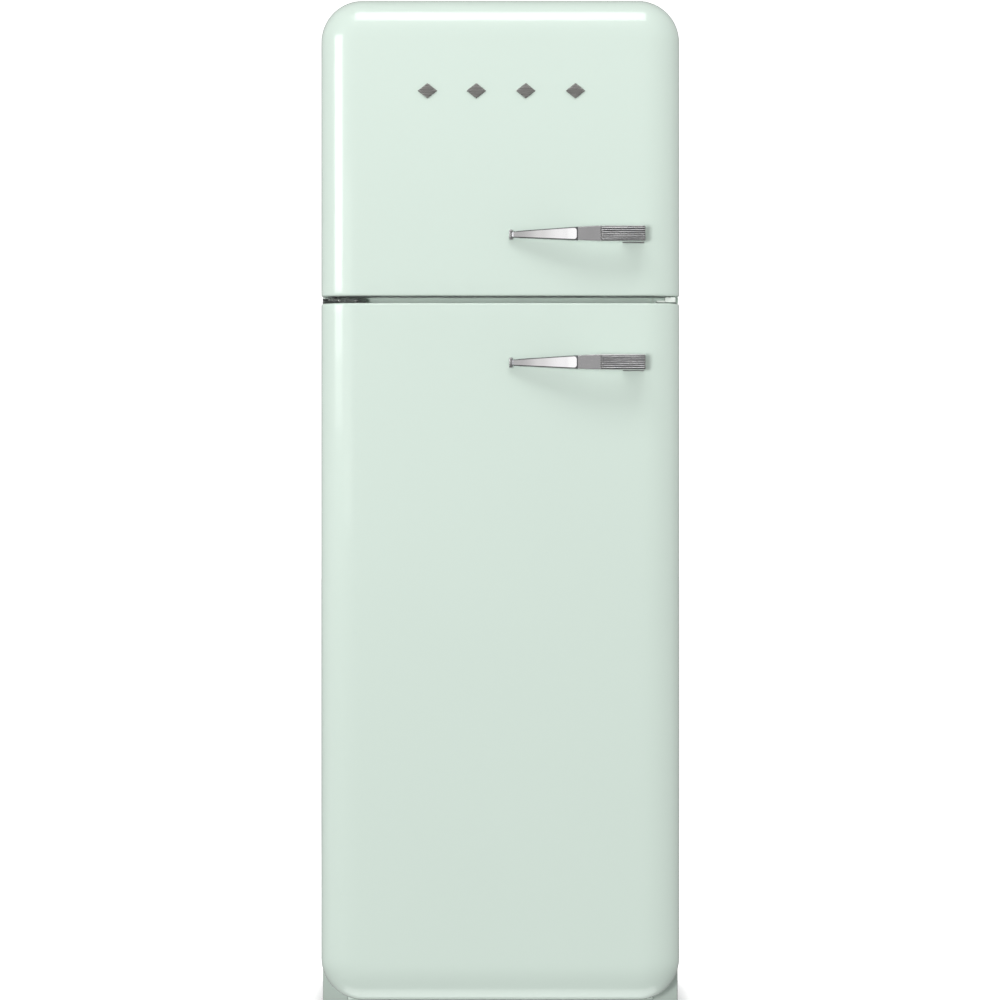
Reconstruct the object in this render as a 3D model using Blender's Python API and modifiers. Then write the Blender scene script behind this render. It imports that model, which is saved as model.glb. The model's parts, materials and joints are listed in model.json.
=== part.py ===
"""Top-freezer refrigerator with two cushion-shaped doors hinged on the left.

Metres, +Z up. The front faces -Y, +X is the viewer's right. The origin is on
the floor, under the middle of the object's box.
"""

import math

import bmesh
import bpy
from mathutils import Matrix, Vector

for old in list(bpy.data.objects):
    bpy.data.objects.remove(old, do_unlink=True)

# ---------------------------------------------------------------- dimensions
WIDTH = 0.601
HEIGHT = 1.720
DEPTH = 0.730
HALF_W = WIDTH / 2
GAP = 0.0003  # kept between touching pieces

# Planes along Y, front to back
Y_HANDLE = -DEPTH / 2
Y_DOOR_FRONT = -0.319
Y_DOOR_BACK = -0.237
Y_CAB_FRONT = -0.225
Y_CAB_BACK = 0.338
Y_WALL = DEPTH / 2

# Heights
Z_DOOR_BOTTOM = 0.043
Z_GAP_LOW = 1.2107  # top of the fridge door
Z_GAP_HIGH = 1.2226  # bottom of the freezer door
Z_CAB_BOTTOM = 0.034

# Door cushion shape
CORNER_R = 0.070  # outline corners
EDGE_W = 0.062  # front edge rounding, across the face
EDGE_D = 0.046  # front edge rounding, in depth
SKIN = 0.0008
CORNER_SEGS = 7
EDGE_SEGS = 6

# Cabinet
CAB_HALF = 0.300
CAB_TOP = 1.719
FLANGE = 0.042
LINER = 0.002
CAV_HALF = 0.2555
FZ_LOW, FZ_HIGH, FZ_BACK = 1.243, 1.663, 0.270
FR_LOW, FR_HIGH, FR_BACK = 0.112, 1.188, 0.285
STEP_Y, STEP_Z = 0.140, 0.300  # ledge over the compressor
NICHE_Y, NICHE_TOP = 0.190, 0.250
RIM_FRONT = -0.2239
FOAM_FRONT = -0.2215

# Hinge line shared by both doors
X_PIN = -HALF_W + 0.022
Y_PIN = Y_DOOR_BACK - 0.024
PIN_R = 0.004
BORE_R = 0.0047
PIN_LEN = 0.022
OPEN_DEG = 110.0
ARM_HALF = 0.008
Z_UPPER_ARM = (1.6840, 1.6890)
Z_MID_ARM = (1.2124, 1.2209)
Z_LOWER_ARM = (0.0740, 0.0790)

# Door inner side
DYKE_HALF = 0.243
DYKE_W = 0.033
DYKE_Y = -0.190
POCKET_Y = -0.232
BIN_FRONT = -0.2312
BIN_WALL = 0.0025
BIN_HALF = DYKE_HALF - DYKE_W - 0.0006  # held between the pocket's side walls

SHELF_FRONT = -0.060
SHELF_BACK = 0.268
SHELVES = {"shelf_upper": 0.985, "shelf_middle": 0.790, "shelf_lower": 0.455}
RACK_Z = 0.625
COVER_Z = 0.3005
FREEZER_SHELF_Z = 1.450
GLASS = 0.004
LEDGE = 0.010

# ---------------------------------------------------------------- scene setup
PARTS = bpy.data.collections.new("top_freezer_refrigerator")
CUTTERS = bpy.data.collections.new("cutters")
bpy.context.scene.collection.children.link(PARTS)
bpy.context.scene.collection.children.link(CUTTERS)
CUTTERS.hide_render = True

FINISHES = {
    "mint_paint": ((0.54, 0.74, 0.62), 0.18, 0.0),
    "steel_grey": ((0.46, 0.47, 0.47), 0.45, 0.6),
    "white_plastic": ((0.86, 0.87, 0.86), 0.35, 0.0),
    "foam": ((0.86, 0.79, 0.52), 0.9, 0.0),
    "gasket_grey": ((0.60, 0.62, 0.61), 0.7, 0.0),
    "chrome": ((0.80, 0.80, 0.81), 0.08, 1.0),
    "hinge_steel": ((0.18, 0.19, 0.18), 0.35, 0.8),
    "glass": ((0.80, 0.90, 0.87), 0.05, 0.0),
    "clear_plastic": ((0.82, 0.90, 0.92), 0.1, 0.0),
    "black_paint": ((0.03, 0.03, 0.03), 0.4, 0.0),
    "copper": ((0.72, 0.38, 0.22), 0.3, 1.0),
    "aluminium": ((0.75, 0.76, 0.77), 0.35, 1.0),
    "black_plastic": ((0.04, 0.04, 0.04), 0.55, 0.0),
    "lamp_lens": ((0.93, 0.94, 0.90), 0.3, 0.0),
}
MATERIALS = {}
for label, (colour, roughness, metallic) in FINISHES.items():
    finish = bpy.data.materials.new(label)
    finish.use_nodes = True
    shader = finish.node_tree.nodes["Principled BSDF"]
    shader.inputs["Base Color"].default_value = (*colour, 1.0)
    shader.inputs["Roughness"].default_value = roughness
    shader.inputs["Metallic"].default_value = metallic
    MATERIALS[label] = finish


# ---------------------------------------------------------------- helpers
def add(name, mesh, material=None):
    """Puts a mesh in the scene as a part, or as a cutter when it has no material."""
    obj = bpy.data.objects.new(name, mesh)
    if material:
        mesh.materials.append(MATERIALS[material])
        PARTS.objects.link(obj)
    else:
        CUTTERS.objects.link(obj)
        obj.hide_render = True
        obj.display_type = "WIRE"
    return obj


def finish_mesh(name, bm, material=None, smooth=False, recalc=True):
    if recalc:
        bmesh.ops.recalc_face_normals(bm, faces=bm.faces)
    mesh = bpy.data.meshes.new(name)
    bm.to_mesh(mesh)
    bm.free()
    if smooth:
        mesh.shade_smooth()
        mesh.set_sharp_from_angle(angle=math.radians(35))
    return add(name, mesh, material)


def box_bm(lo, hi):
    lo, hi = Vector(lo), Vector(hi)
    bm = bmesh.new()
    bmesh.ops.create_cube(bm, size=1.0)
    bmesh.ops.scale(bm, vec=hi - lo, verts=bm.verts)
    bmesh.ops.translate(bm, vec=(lo + hi) / 2, verts=bm.verts)
    return bm


def box(name, lo, hi, material=None, round_r=0.0, segments=2):
    bm = box_bm(lo, hi)
    if round_r:
        bmesh.ops.bevel(bm, geom=bm.edges[:], offset=round_r, segments=segments,
                        profile=0.5, affect="EDGES", clamp_overlap=True)
    return finish_mesh(name, bm, material)


def cylinder(name, base, top, radius, material=None, sides=16):
    """A cylinder between two points."""
    base, top = Vector(base), Vector(top)
    bm = bmesh.new()
    turn = (top - base).to_track_quat("Z", "Y").to_matrix().to_4x4()
    bmesh.ops.create_cone(bm, cap_ends=True, segments=sides, radius1=radius, radius2=radius,
                          depth=(top - base).length,
                          matrix=Matrix.Translation((base + top) / 2) @ turn)
    return finish_mesh(name, bm, material, smooth=True)


def boolean(obj, tool, operation):
    modifier = obj.modifiers.new(tool.name, "BOOLEAN")
    modifier.operation = operation
    modifier.object = tool
    modifier.solver = "EXACT"
    return obj


def cut(obj, *tools):
    for tool in tools:
        boolean(obj, tool, "DIFFERENCE")
    return obj


def join(obj, *tools):
    for tool in tools:
        boolean(obj, tool, "UNION")
    return obj


def plate(name, points, plane, low, high, material=None):
    """A flat outline given thickness: a filled 2D curve, extruded, then welded to a mesh.
    plane "XZ" runs from low to high along Y, "XY" along Z, "YZ" along X."""
    curve = bpy.data.curves.new(name, "CURVE")
    curve.dimensions = "2D"
    curve.fill_mode = "BOTH"
    curve.extrude = (high - low) / 2
    spline = curve.splines.new("POLY")
    spline.points.add(len(points) - 1)
    for point, (u, v) in zip(spline.points, points):
        point.co = (u, v, 0.0, 1.0)
    spline.use_cyclic_u = True
    guide = bpy.data.objects.new(name + "_outline", curve)
    PARTS.objects.link(guide)
    bpy.context.view_layer.update()
    mesh = bpy.data.meshes.new_from_object(
        guide.evaluated_get(bpy.context.evaluated_depsgraph_get()))
    bpy.data.objects.remove(guide, do_unlink=True)
    middle = (low + high) / 2
    frames = {
        "XY": Matrix(((1, 0, 0, 0), (0, 1, 0, 0), (0, 0, 1, middle), (0, 0, 0, 1))),
        "XZ": Matrix(((1, 0, 0, 0), (0, 0, 1, middle), (0, 1, 0, 0), (0, 0, 0, 1))),
        "YZ": Matrix(((0, 0, 1, middle), (1, 0, 0, 0), (0, 1, 0, 0), (0, 0, 0, 1))),
    }
    bm = bmesh.new()
    bm.from_mesh(mesh)
    bpy.data.meshes.remove(mesh)
    bmesh.ops.remove_doubles(bm, verts=bm.verts, dist=1e-5)
    bmesh.ops.transform(bm, matrix=frames[plane], verts=bm.verts)
    return finish_mesh(name, bm, material)


def tube(name, points, radius, material, resolution=1, cyclic=False):
    curve = bpy.data.curves.new(name, "CURVE")
    curve.dimensions = "3D"
    curve.bevel_depth = radius
    curve.bevel_resolution = resolution
    curve.use_fill_caps = True
    spline = curve.splines.new("POLY")
    spline.points.add(len(points) - 1)
    for point, co in zip(spline.points, points):
        point.co = (*co, 1.0)
    spline.use_cyclic_u = cyclic
    obj = bpy.data.objects.new(name, curve)
    curve.materials.append(MATERIALS[material])
    PARTS.objects.link(obj)
    return obj


def turned(name, profile, place, material, steps=16, axis="Z"):
    """A profile of (radius, height) points, listed down its outer side, spun with a Screw modifier."""
    bm = bmesh.new()
    verts = [bm.verts.new((r, 0.0, h)) for r, h in profile]
    for a, b in zip(verts, verts[1:]):
        bm.edges.new((a, b))
    if profile[0][0] > 1e-6:
        bm.edges.new((verts[-1], verts[0]))
    mesh = bpy.data.meshes.new(name)
    bm.to_mesh(mesh)
    bm.free()
    obj = add(name, mesh, material)
    screw = obj.modifiers.new("spin", "SCREW")
    screw.steps = screw.render_steps = steps
    screw.use_merge_vertices = True
    screw.merge_threshold = 0.00001
    obj.location = place
    if axis == "X":
        obj.rotation_euler = (0.0, math.pi / 2, 0.0)
    elif axis == "-Y":
        obj.rotation_euler = (math.pi / 2, 0.0, 0.0)
    return obj


def arc(centre, radius, start, stop, segments):
    return [(centre[0] + radius * math.cos(math.radians(start + (stop - start) * i / segments)),
             centre[1] + radius * math.sin(math.radians(start + (stop - start) * i / segments)))
            for i in range(segments + 1)]


def arch(half, low, top, radius, segments=CORNER_SEGS):
    """An outline in XZ with square lower corners and round upper ones, from lower left to lower right."""
    return ([(-half, low)] + arc((-half + radius, top - radius), radius, 180, 90, segments)
            + arc((half - radius, top - radius), radius, 90, 0, segments) + [(half, low)])


def face_towards(bm, towards):
    """Turns an open surface so that its faces look the way that the test says."""
    bmesh.ops.recalc_face_normals(bm, faces=bm.faces)
    bm.faces.ensure_lookup_table()
    bm.normal_update()
    score = sum(f.calc_area() * towards(f) for f in bm.faces)
    if score < 0:
        bmesh.ops.reverse_faces(bm, faces=bm.faces)


def solidify(obj, thickness):
    """Grows a sheet away from the side that its faces look to."""
    modifier = obj.modifiers.new("sheet", "SOLIDIFY")
    modifier.thickness = thickness
    modifier.offset = -1.0
    modifier.use_even_offset = True
    return obj


def open_tray(name, lo, hi, wall, material, draft=0.0, round_r=0.0):
    """A thin-walled tray, open at the top, of the given outer size."""
    lo, hi = Vector(lo), Vector(hi)
    bm = box_bm(lo, hi)
    bmesh.ops.delete(bm, geom=[f for f in bm.faces if f.normal.z > 0.5], context="FACES_ONLY")
    for v in bm.verts:
        if draft and v.co.z < (lo.z + hi.z) / 2:
            v.co.x += draft if v.co.x < (lo.x + hi.x) / 2 else -draft
            v.co.y += draft * 0.6 if v.co.y < (lo.y + hi.y) / 2 else -draft * 0.6
    if round_r:
        upright = [e for e in bm.edges if abs((e.verts[0].co - e.verts[1].co).normalized().z) > 0.7]
        bmesh.ops.bevel(bm, geom=upright, offset=round_r, segments=2, profile=0.5, affect="EDGES")
    centre = (lo + hi) / 2
    face_towards(bm, lambda f: (f.calc_center_median() - centre).dot(f.normal))
    return solidify(finish_mesh(name, bm, material, recalc=False), wall)


# ---------------------------------------------------------------- the door cushion
def cushion(name, inset, z_low, z_high, back, material=None, open_sides=False):
    """One slice of the rounded block that both doors are cut from, taken in all round by inset."""
    half = HALF_W - inset
    top, bottom = HEIGHT - inset, Z_DOOR_BOTTOM + inset
    front = Y_DOOR_FRONT + inset
    wide, deep = EDGE_W - inset, EDGE_D - inset
    stretch = wide / deep  # the edge is rounded as a circle, then flattened to its ellipse
    bm = box_bm((-half, front, bottom), (half, back, top))
    corners = [e for e in bm.edges if abs((e.verts[0].co - e.verts[1].co).normalized().y) > 0.9]
    bmesh.ops.bevel(bm, geom=corners, offset=CORNER_R - inset, segments=CORNER_SEGS,
                    profile=0.5, affect="EDGES", clamp_overlap=False)
    for v in bm.verts:
        v.co.y = front + (v.co.y - front) * stretch
    loop = [e for e in bm.edges if all(abs(v.co.y - front) < 1e-6 for v in e.verts)]
    bmesh.ops.bevel(bm, geom=loop, offset=wide, segments=EDGE_SEGS,
                    profile=0.5, affect="EDGES", clamp_overlap=False)
    for v in bm.verts:
        v.co.y = front + (v.co.y - front) / stretch
    caps = []
    for height, away in ((z_low, -1), (z_high, 1)):
        if bottom < height < top:
            cutting = bmesh.ops.bisect_plane(bm, geom=bm.verts[:] + bm.edges[:] + bm.faces[:],
                                             dist=1e-6, plane_co=(0, 0, height),
                                             plane_no=(0, 0, away), clear_outer=True)
            edges = [e for e in cutting["geom_cut"] if isinstance(e, bmesh.types.BMEdge)]
            if not open_sides:
                caps += bmesh.ops.contextual_create(bm, geom=edges)["faces"]
    if open_sides:
        behind = [f for f in bm.faces if all(abs(v.co.y - back) < 1e-6 for v in f.verts)]
        bmesh.ops.delete(bm, geom=behind, context="FACES_ONLY")
    middle = Vector((0, back, (z_low + z_high) / 2))
    face_towards(bm, lambda f: (f.calc_center_median() - middle).dot(f.normal))
    return finish_mesh(name, bm, material, recalc=False, smooth=True)


def outline(inset, z_low, z_high):
    """The door's outline in XZ between two heights: round corners only where they belong to the whole cushion."""
    half, top, bottom, r = HALF_W - inset, HEIGHT - inset, Z_DOOR_BOTTOM + inset, CORNER_R - inset
    points = []
    if z_low <= bottom:
        points += arc((-half + r, bottom + r), r, 270, 180, CORNER_SEGS)
    else:
        points += [(-half, z_low)]
    if z_high >= top:
        points += arc((-half + r, top - r), r, 180, 90, CORNER_SEGS)
        points += arc((half - r, top - r), r, 90, 0, CORNER_SEGS)
    else:
        points += [(-half, z_high), (half, z_high)]
    if z_low <= bottom:
        points += arc((half - r, bottom + r), r, 360, 270, CORNER_SEGS)
    else:
        points += [(half, z_low)]
    return points


def hinge_slot(name, z_low, z_high):
    """The space that a fixed hinge arm sweeps through a door, as the door turns round it."""
    reach, side = 0.075, ARM_HALF + 0.0015
    turn = math.radians(OPEN_DEG)
    along = Vector((-math.sin(turn), math.cos(turn)))
    across = Vector((along.y, -along.x))
    far = [(along * reach + across * s * side) for s in (-1, 1)]
    round_end = [Vector((side * math.cos(math.radians(a)), side * math.sin(math.radians(a))))
                 for a in range(-70, 1, 14)]
    points = [Vector((side, reach)), Vector((-side, reach))]
    points += sorted(far, key=lambda p: -p.y) + round_end
    return plate(name, [(X_PIN + p.x, Y_PIN + p.y) for p in points], "XY", z_low, z_high)


def door(prefix, z_low, z_high, cavity_low, cavity_high, end_cap, arm, pin_heights):
    """The skin, end cap, foam core, inner liner and gasket of one door."""
    parts = {}
    parts["skin"] = solidify(cushion(prefix + "_skin", 0.0, z_low, z_high, Y_DOOR_BACK,
                                     "mint_paint", open_sides=True), SKIN)
    inner = SKIN + GAP
    cap_thick = 0.003
    cap_lo, cap_hi = ((z_low, z_low + cap_thick) if end_cap == "bottom"
                      else (z_high - cap_thick, z_high))
    parts["cap"] = cushion(prefix + "_end_cap", inner, cap_lo, cap_hi, Y_DOOR_BACK - 0.0002,
                           "white_plastic")
    foam_lo = z_low + cap_thick + GAP if end_cap == "bottom" else z_low
    foam_hi = z_high - cap_thick - GAP if end_cap == "top" else z_high
    sheet = 0.0015
    parts["foam"] = cushion(prefix + "_foam", inner, foam_lo, foam_hi,
                            Y_DOOR_BACK - sheet - 2 * GAP, "foam")
    # Inner liner: flange, dyke standing into the cavity, pocket for the bins
    ring_lo, ring_hi = cavity_low + 0.012, cavity_high - 0.012
    lo = foam_lo + (0.0005 if end_cap == "bottom" else 0.0)
    hi = foam_hi - (0.0005 if end_cap == "top" else 0.0)
    flat = plate(prefix + "_liner_blank", outline(inner, lo, hi), "XZ",
                 Y_DOOR_BACK - sheet, Y_DOOR_BACK)
    bm = bmesh.new()
    bm.from_mesh(flat.data)
    bpy.data.objects.remove(flat, do_unlink=True)
    liner = finish_mesh(prefix + "_liner", bm, "white_plastic")
    dyke = box(prefix + "_dyke_out", (-DYKE_HALF, Y_DOOR_BACK - 0.001, ring_lo),
               (DYKE_HALF, DYKE_Y, ring_hi))
    pocket = box(prefix + "_pocket_out", (-DYKE_HALF + DYKE_W, POCKET_Y, ring_lo + DYKE_W),
                 (DYKE_HALF - DYKE_W, DYKE_Y + 0.02, ring_hi - DYKE_W))
    hollow = box(prefix + "_dyke_hollow", (-DYKE_HALF + sheet, Y_DOOR_BACK - 0.01, ring_lo + sheet),
                 (DYKE_HALF - sheet, DYKE_Y - sheet, ring_hi - sheet))
    floor = box(prefix + "_pocket_skin",
                (-DYKE_HALF + DYKE_W - sheet, POCKET_Y - sheet, ring_lo + DYKE_W - sheet),
                (DYKE_HALF - DYKE_W + sheet, DYKE_Y + 0.01, ring_hi - DYKE_W + sheet))
    cut(hollow, floor)
    join(liner, dyke)
    cut(liner, pocket, hollow)
    parts["liner"] = liner
    # Foam that fills the dyke
    clear = sheet + GAP
    fill = box(prefix + "_foam_dyke",
               (-DYKE_HALF + clear, Y_DOOR_BACK - 0.01, ring_lo + clear),
               (DYKE_HALF - clear, DYKE_Y - clear, ring_hi - clear))
    core_pocket = box(prefix + "_foam_pocket",
                      (-DYKE_HALF + DYKE_W - clear, POCKET_Y - clear, ring_lo + DYKE_W - clear),
                      (DYKE_HALF - DYKE_W + clear, DYKE_Y + 0.01, ring_hi - DYKE_W + clear))
    join(parts["foam"], fill)
    cut(parts["foam"], core_pocket)
    # Gasket: a frame of soft section between the liner's flange and the cabinet's face
    g = 0.0145
    g_out = (-0.2765, 0.2765)
    g_lo, g_hi = cavity_low - 0.024 + 0.0, cavity_high + 0.020
    if end_cap == "bottom":
        g_lo = cavity_low - 0.0165
        g_hi = 1.680
    else:
        g_lo = 0.0875
        g_hi = cavity_high + 0.0185
    gasket = box(prefix + "_gasket", (g_out[0], Y_DOOR_BACK + GAP, g_lo),
                 (g_out[1], Y_CAB_FRONT - 0.0004, g_hi), "gasket_grey")
    window = box(prefix + "_gasket_window", (g_out[0] + g, Y_DOOR_BACK - 0.01, g_lo + g),
                 (g_out[1] - g, Y_CAB_FRONT + 0.01, g_hi - g))
    cut(gasket, window)
    parts["gasket"] = gasket
    # Clearance for the hinge arm that reaches into the door, and sockets for the pins
    slot = hinge_slot(prefix + "_arm_slot", arm[0] - 0.002, arm[1] + 0.002)
    for key in ("skin", "foam", "liner"):
        cut(parts[key], slot)
    for i, (a, b) in enumerate(pin_heights):
        socket = cylinder(f"{prefix}_socket_{i}", (X_PIN, Y_PIN, a), (X_PIN, Y_PIN, b), BORE_R)
        cut(parts["foam"], socket)
        if a < cap_hi and b > cap_lo:
            cut(parts["cap"], socket)
    return parts


door("freezer_door", Z_GAP_HIGH, HEIGHT, FZ_LOW, FZ_HIGH, "bottom", Z_UPPER_ARM,
     [(Z_GAP_HIGH - 0.01, Z_GAP_HIGH + PIN_LEN + 0.004),
      (Z_UPPER_ARM[0] - PIN_LEN - 0.002, Z_UPPER_ARM[0] + 0.001)])
door("fridge_door", Z_DOOR_BOTTOM, Z_GAP_LOW, FR_LOW, FR_HIGH, "top", Z_LOWER_ARM,
     [(Z_GAP_LOW - PIN_LEN - 0.004, Z_GAP_LOW + 0.01),
      (Z_LOWER_ARM[1] - 0.001, Z_LOWER_ARM[1] + PIN_LEN + 0.002)])


# ---------------------------------------------------------------- hinges
def arm_plate(name, z_low, z_high, x_left, x_right, material=None):
    """A hinge arm seen from above: round end at the pin, running back to the cabinet's face."""
    tip = arc((X_PIN, Y_PIN), ARM_HALF, 180, 360, 8)
    back = Y_CAB_FRONT - 0.0003
    points = [(x_left, back), (x_left, back - 0.006), (X_PIN - ARM_HALF, back - 0.012)] + tip
    points += [(X_PIN + ARM_HALF, back - 0.012), (x_right, back - 0.006), (x_right, back)]
    return plate(name, points, "XY", z_low, z_high, material)


upper = arm_plate("upper_hinge", *Z_UPPER_ARM, X_PIN - ARM_HALF, X_PIN + ARM_HALF + 0.002, "hinge_steel")
join(upper,
     box("upper_hinge_flange", (X_PIN - ARM_HALF + 0.0005, -0.2273, Z_UPPER_ARM[0]),
         (-0.215, Y_CAB_FRONT - 0.0003, Z_UPPER_ARM[0] + 0.016)),
     cylinder("upper_hinge_pin", (X_PIN, Y_PIN, Z_UPPER_ARM[0] - PIN_LEN),
              (X_PIN, Y_PIN, Z_UPPER_ARM[0] + 0.002), PIN_R))

middle = plate("middle_hinge",
               [(-0.2995, Y_CAB_FRONT - 0.0003), (-0.2995, Y_CAB_FRONT - 0.030),
                (-0.2935, Y_PIN - 0.012), (-0.2400, Y_PIN - 0.012),
                (-0.2240, Y_PIN + 0.004), (-0.2240, Y_CAB_FRONT - 0.0003)],
               "XY", *Z_MID_ARM, "hinge_steel")
join(middle, cylinder("middle_hinge_pin", (X_PIN, Y_PIN, Z_MID_ARM[0] - PIN_LEN),
                      (X_PIN, Y_PIN, Z_MID_ARM[1] + PIN_LEN), PIN_R))

lower = arm_plate("lower_hinge", *Z_LOWER_ARM, X_PIN - ARM_HALF, X_PIN + ARM_HALF + 0.002, "hinge_steel")
join(lower,
     box("lower_hinge_flange", (X_PIN - ARM_HALF + 0.0005, -0.2273, Z_LOWER_ARM[1] - 0.020),
         (-0.215, Y_CAB_FRONT - 0.0003, Z_LOWER_ARM[1])),
     cylinder("lower_hinge_pin", (X_PIN, Y_PIN, Z_LOWER_ARM[1] - 0.002),
              (X_PIN, Y_PIN, Z_LOWER_ARM[1] + PIN_LEN), PIN_R))

box("hinge_blank_cover", (0.243, -0.300, Z_MID_ARM[0]), (0.292, Y_CAB_FRONT - 0.0003, Z_MID_ARM[1]),
    "white_plastic", round_r=0.0015, segments=1)


# ---------------------------------------------------------------- cabinet shell
def shell():
    """Sheet wrap over the sides and top, with a flange folded inwards at the front."""
    outer = arch(CAB_HALF, Z_CAB_BOTTOM, CAB_TOP, CORNER_R)
    inner = arch(CAB_HALF - FLANGE, Z_CAB_BOTTOM, CAB_TOP - FLANGE, CORNER_R - FLANGE)
    bm = bmesh.new()
    line = [bm.verts.new((x, Y_CAB_FRONT, z)) for x, z in outer]
    edges = [bm.edges.new(pair) for pair in zip(line, line[1:])]
    wrap = bmesh.ops.extrude_edge_only(bm, edges=edges)["geom"]
    bmesh.ops.translate(bm, vec=(0, Y_CAB_BACK - Y_CAB_FRONT, 0),
                        verts=[g for g in wrap if isinstance(g, bmesh.types.BMVert)])
    fold = bmesh.ops.extrude_edge_only(bm, edges=edges)["geom"]
    turned_in = {(round(x, 6), round(z, 6)): target for (x, z), target in zip(outer, inner)}
    for v in fold:
        if isinstance(v, bmesh.types.BMVert):
            x, z = turned_in[(round(v.co.x, 6), round(v.co.z, 6))]
            v.co.x, v.co.z = x, z
    centre = Vector((0, 0.05, 0.8))
    face_towards(bm, lambda f: (f.calc_center_median() - centre).dot(f.normal))
    return solidify(finish_mesh("cabinet_shell", bm, "mint_paint", smooth=True, recalc=False), SKIN)


shell()

plate("rear_panel", arch(CAB_HALF - 0.0012, NICHE_TOP + 0.001, CAB_TOP - 0.0012, CORNER_R - 0.0012),
      "XZ", Y_CAB_BACK + GAP, Y_CAB_BACK + GAP + 0.001, "steel_grey")

box("centre_rail", (-0.2577, Y_CAB_FRONT, FR_HIGH + 0.0005), (0.2577, Y_CAB_FRONT + SKIN, FZ_LOW - 0.0005),
    "mint_paint")
box("plinth", (-0.2577, Y_CAB_FRONT, 0.0365), (0.2577, Y_CAB_FRONT + SKIN, FR_LOW - 0.0005), "mint_paint")

# Foam fills the space between the shell and the liners, in three blocks stacked on level planes
Z_FOAM_UPPER = (FR_HIGH + FZ_LOW) / 2
Z_FOAM_MIDDLE = STEP_Z - LINER - GAP
FOAM_HALF = CAB_HALF - 0.0011
wall = LINER + GAP
upper_foam = plate("insulation_upper", arch(FOAM_HALF, Z_FOAM_UPPER + GAP / 2, CAB_TOP - 0.0011, CORNER_R - 0.0011),
                   "XZ", FOAM_FRONT, Y_CAB_BACK - GAP, "foam")
cut(upper_foam, box("freezer_space", (-CAV_HALF - wall, -0.30, FZ_LOW - wall),
                    (CAV_HALF + wall, FZ_BACK + wall, FZ_HIGH + wall)))
middle_foam = box("insulation_middle", (-FOAM_HALF, FOAM_FRONT, Z_FOAM_MIDDLE + GAP),
                  (FOAM_HALF, Y_CAB_BACK - GAP, Z_FOAM_UPPER - GAP / 2), "foam")
cut(middle_foam, box("fridge_space", (-CAV_HALF - wall, -0.30, 0.20), (CAV_HALF + wall, FR_BACK + wall, FR_HIGH + wall)))
base_foam = box("insulation_base", (-FOAM_HALF, FOAM_FRONT, 0.036), (FOAM_HALF, Y_CAB_BACK - GAP, Z_FOAM_MIDDLE), "foam")
cut(base_foam,
    plate("crisper_space",
          [(-0.30, FR_LOW - wall), (STEP_Y + wall, FR_LOW - wall), (STEP_Y + wall, STEP_Z - wall - 0.012),
           (STEP_Y + wall + 0.0125, STEP_Z - wall + 0.0005), (STEP_Y + wall + 0.0125, 0.40), (-0.30, 0.40)],
          "YZ", -CAV_HALF - wall, CAV_HALF + wall),
    box("compressor_space", (-0.270, NICHE_Y, 0.0), (0.270, 0.5, NICHE_TOP)))


# ---------------------------------------------------------------- liners
def liner(name, side, rim):
    """A tub open at the front, from a side profile in YZ, with a rim round its mouth."""
    tub = plate(name + "_form", side, "YZ", -CAV_HALF, CAV_HALF)
    bm = bmesh.new()
    bm.from_mesh(tub.data)
    bpy.data.objects.remove(tub, do_unlink=True)
    bmesh.ops.dissolve_limit(bm, angle_limit=math.radians(1), verts=bm.verts, edges=bm.edges)
    bmesh.ops.recalc_face_normals(bm, faces=bm.faces)
    bmesh.ops.delete(bm, geom=[f for f in bm.faces if f.normal.y < -0.9], context="FACES_ONLY")
    mouth = [e for e in bm.edges if e.is_boundary]
    folded = [e for e in bm.edges if not e.is_boundary]
    grown = bmesh.ops.extrude_edge_only(bm, edges=mouth)["geom"]
    zs = [z for _, z in side]
    for v in grown:
        if isinstance(v, bmesh.types.BMVert):
            v.co.x += math.copysign(rim, v.co.x)
            v.co.z += rim if v.co.z > (min(zs) + max(zs)) / 2 else -rim
    bmesh.ops.bevel(bm, geom=folded, offset=0.012, segments=2, profile=0.5, affect="EDGES")
    centre = Vector((0, 0, (min(zs) + max(zs)) / 2))
    face_towards(bm, lambda f: -(f.calc_center_median() - centre).dot(f.normal))
    return solidify(finish_mesh(name, bm, "white_plastic", recalc=False, smooth=True), LINER)


def ledges(obj, heights, y_front, y_back):
    for i, height in enumerate(heights):
        for side in (-1, 1):
            a, b = side * (CAV_HALF - LEDGE), side * (CAV_HALF + 0.001)
            join(obj, box(f"{obj.name}_ledge_{i}_{side}", (min(a, b), y_front, height - 0.008),
                          (max(a, b), y_back[i], height)))


freezer_liner = liner("freezer_liner",
                      [(RIM_FRONT, FZ_LOW), (FZ_BACK, FZ_LOW), (FZ_BACK, FZ_HIGH), (RIM_FRONT, FZ_HIGH)], 0.014)
ledges(freezer_liner, [FREEZER_SHELF_Z], -0.045, [0.255])
fridge_liner = liner("fridge_liner",
                     [(RIM_FRONT, FR_LOW), (STEP_Y, FR_LOW), (STEP_Y, STEP_Z), (FR_BACK, STEP_Z),
                      (FR_BACK, FR_HIGH), (RIM_FRONT, FR_HIGH)], 0.014)
ledges(fridge_liner, [z for z in SHELVES.values()] + [RACK_Z, COVER_Z], -0.045,
       [0.262, 0.262, 0.262, 0.262, 0.136])


# ---------------------------------------------------------------- shelves
def glass_shelf(name, height, back):
    low = height + GAP
    box(name, (-CAV_HALF + 0.003, SHELF_FRONT, low), (CAV_HALF - 0.003, back, low + GLASS), "glass",
        round_r=0.0008, segments=1)
    half = CAV_HALF - LEDGE - 0.002
    front, rear = SHELF_FRONT - 0.006, SHELF_FRONT + 0.009
    bottom, top = low - 0.0045, low + GLASS + 0.0035
    profile = [(front, bottom), (rear, bottom), (rear, low - GAP), (SHELF_FRONT - GAP, low - GAP),
               (SHELF_FRONT - GAP, low + GLASS + GAP), (rear, low + GLASS + GAP), (rear, top), (front, top)]
    plate(name + "_trim", profile, "YZ", -half, half, "chrome")


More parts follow.
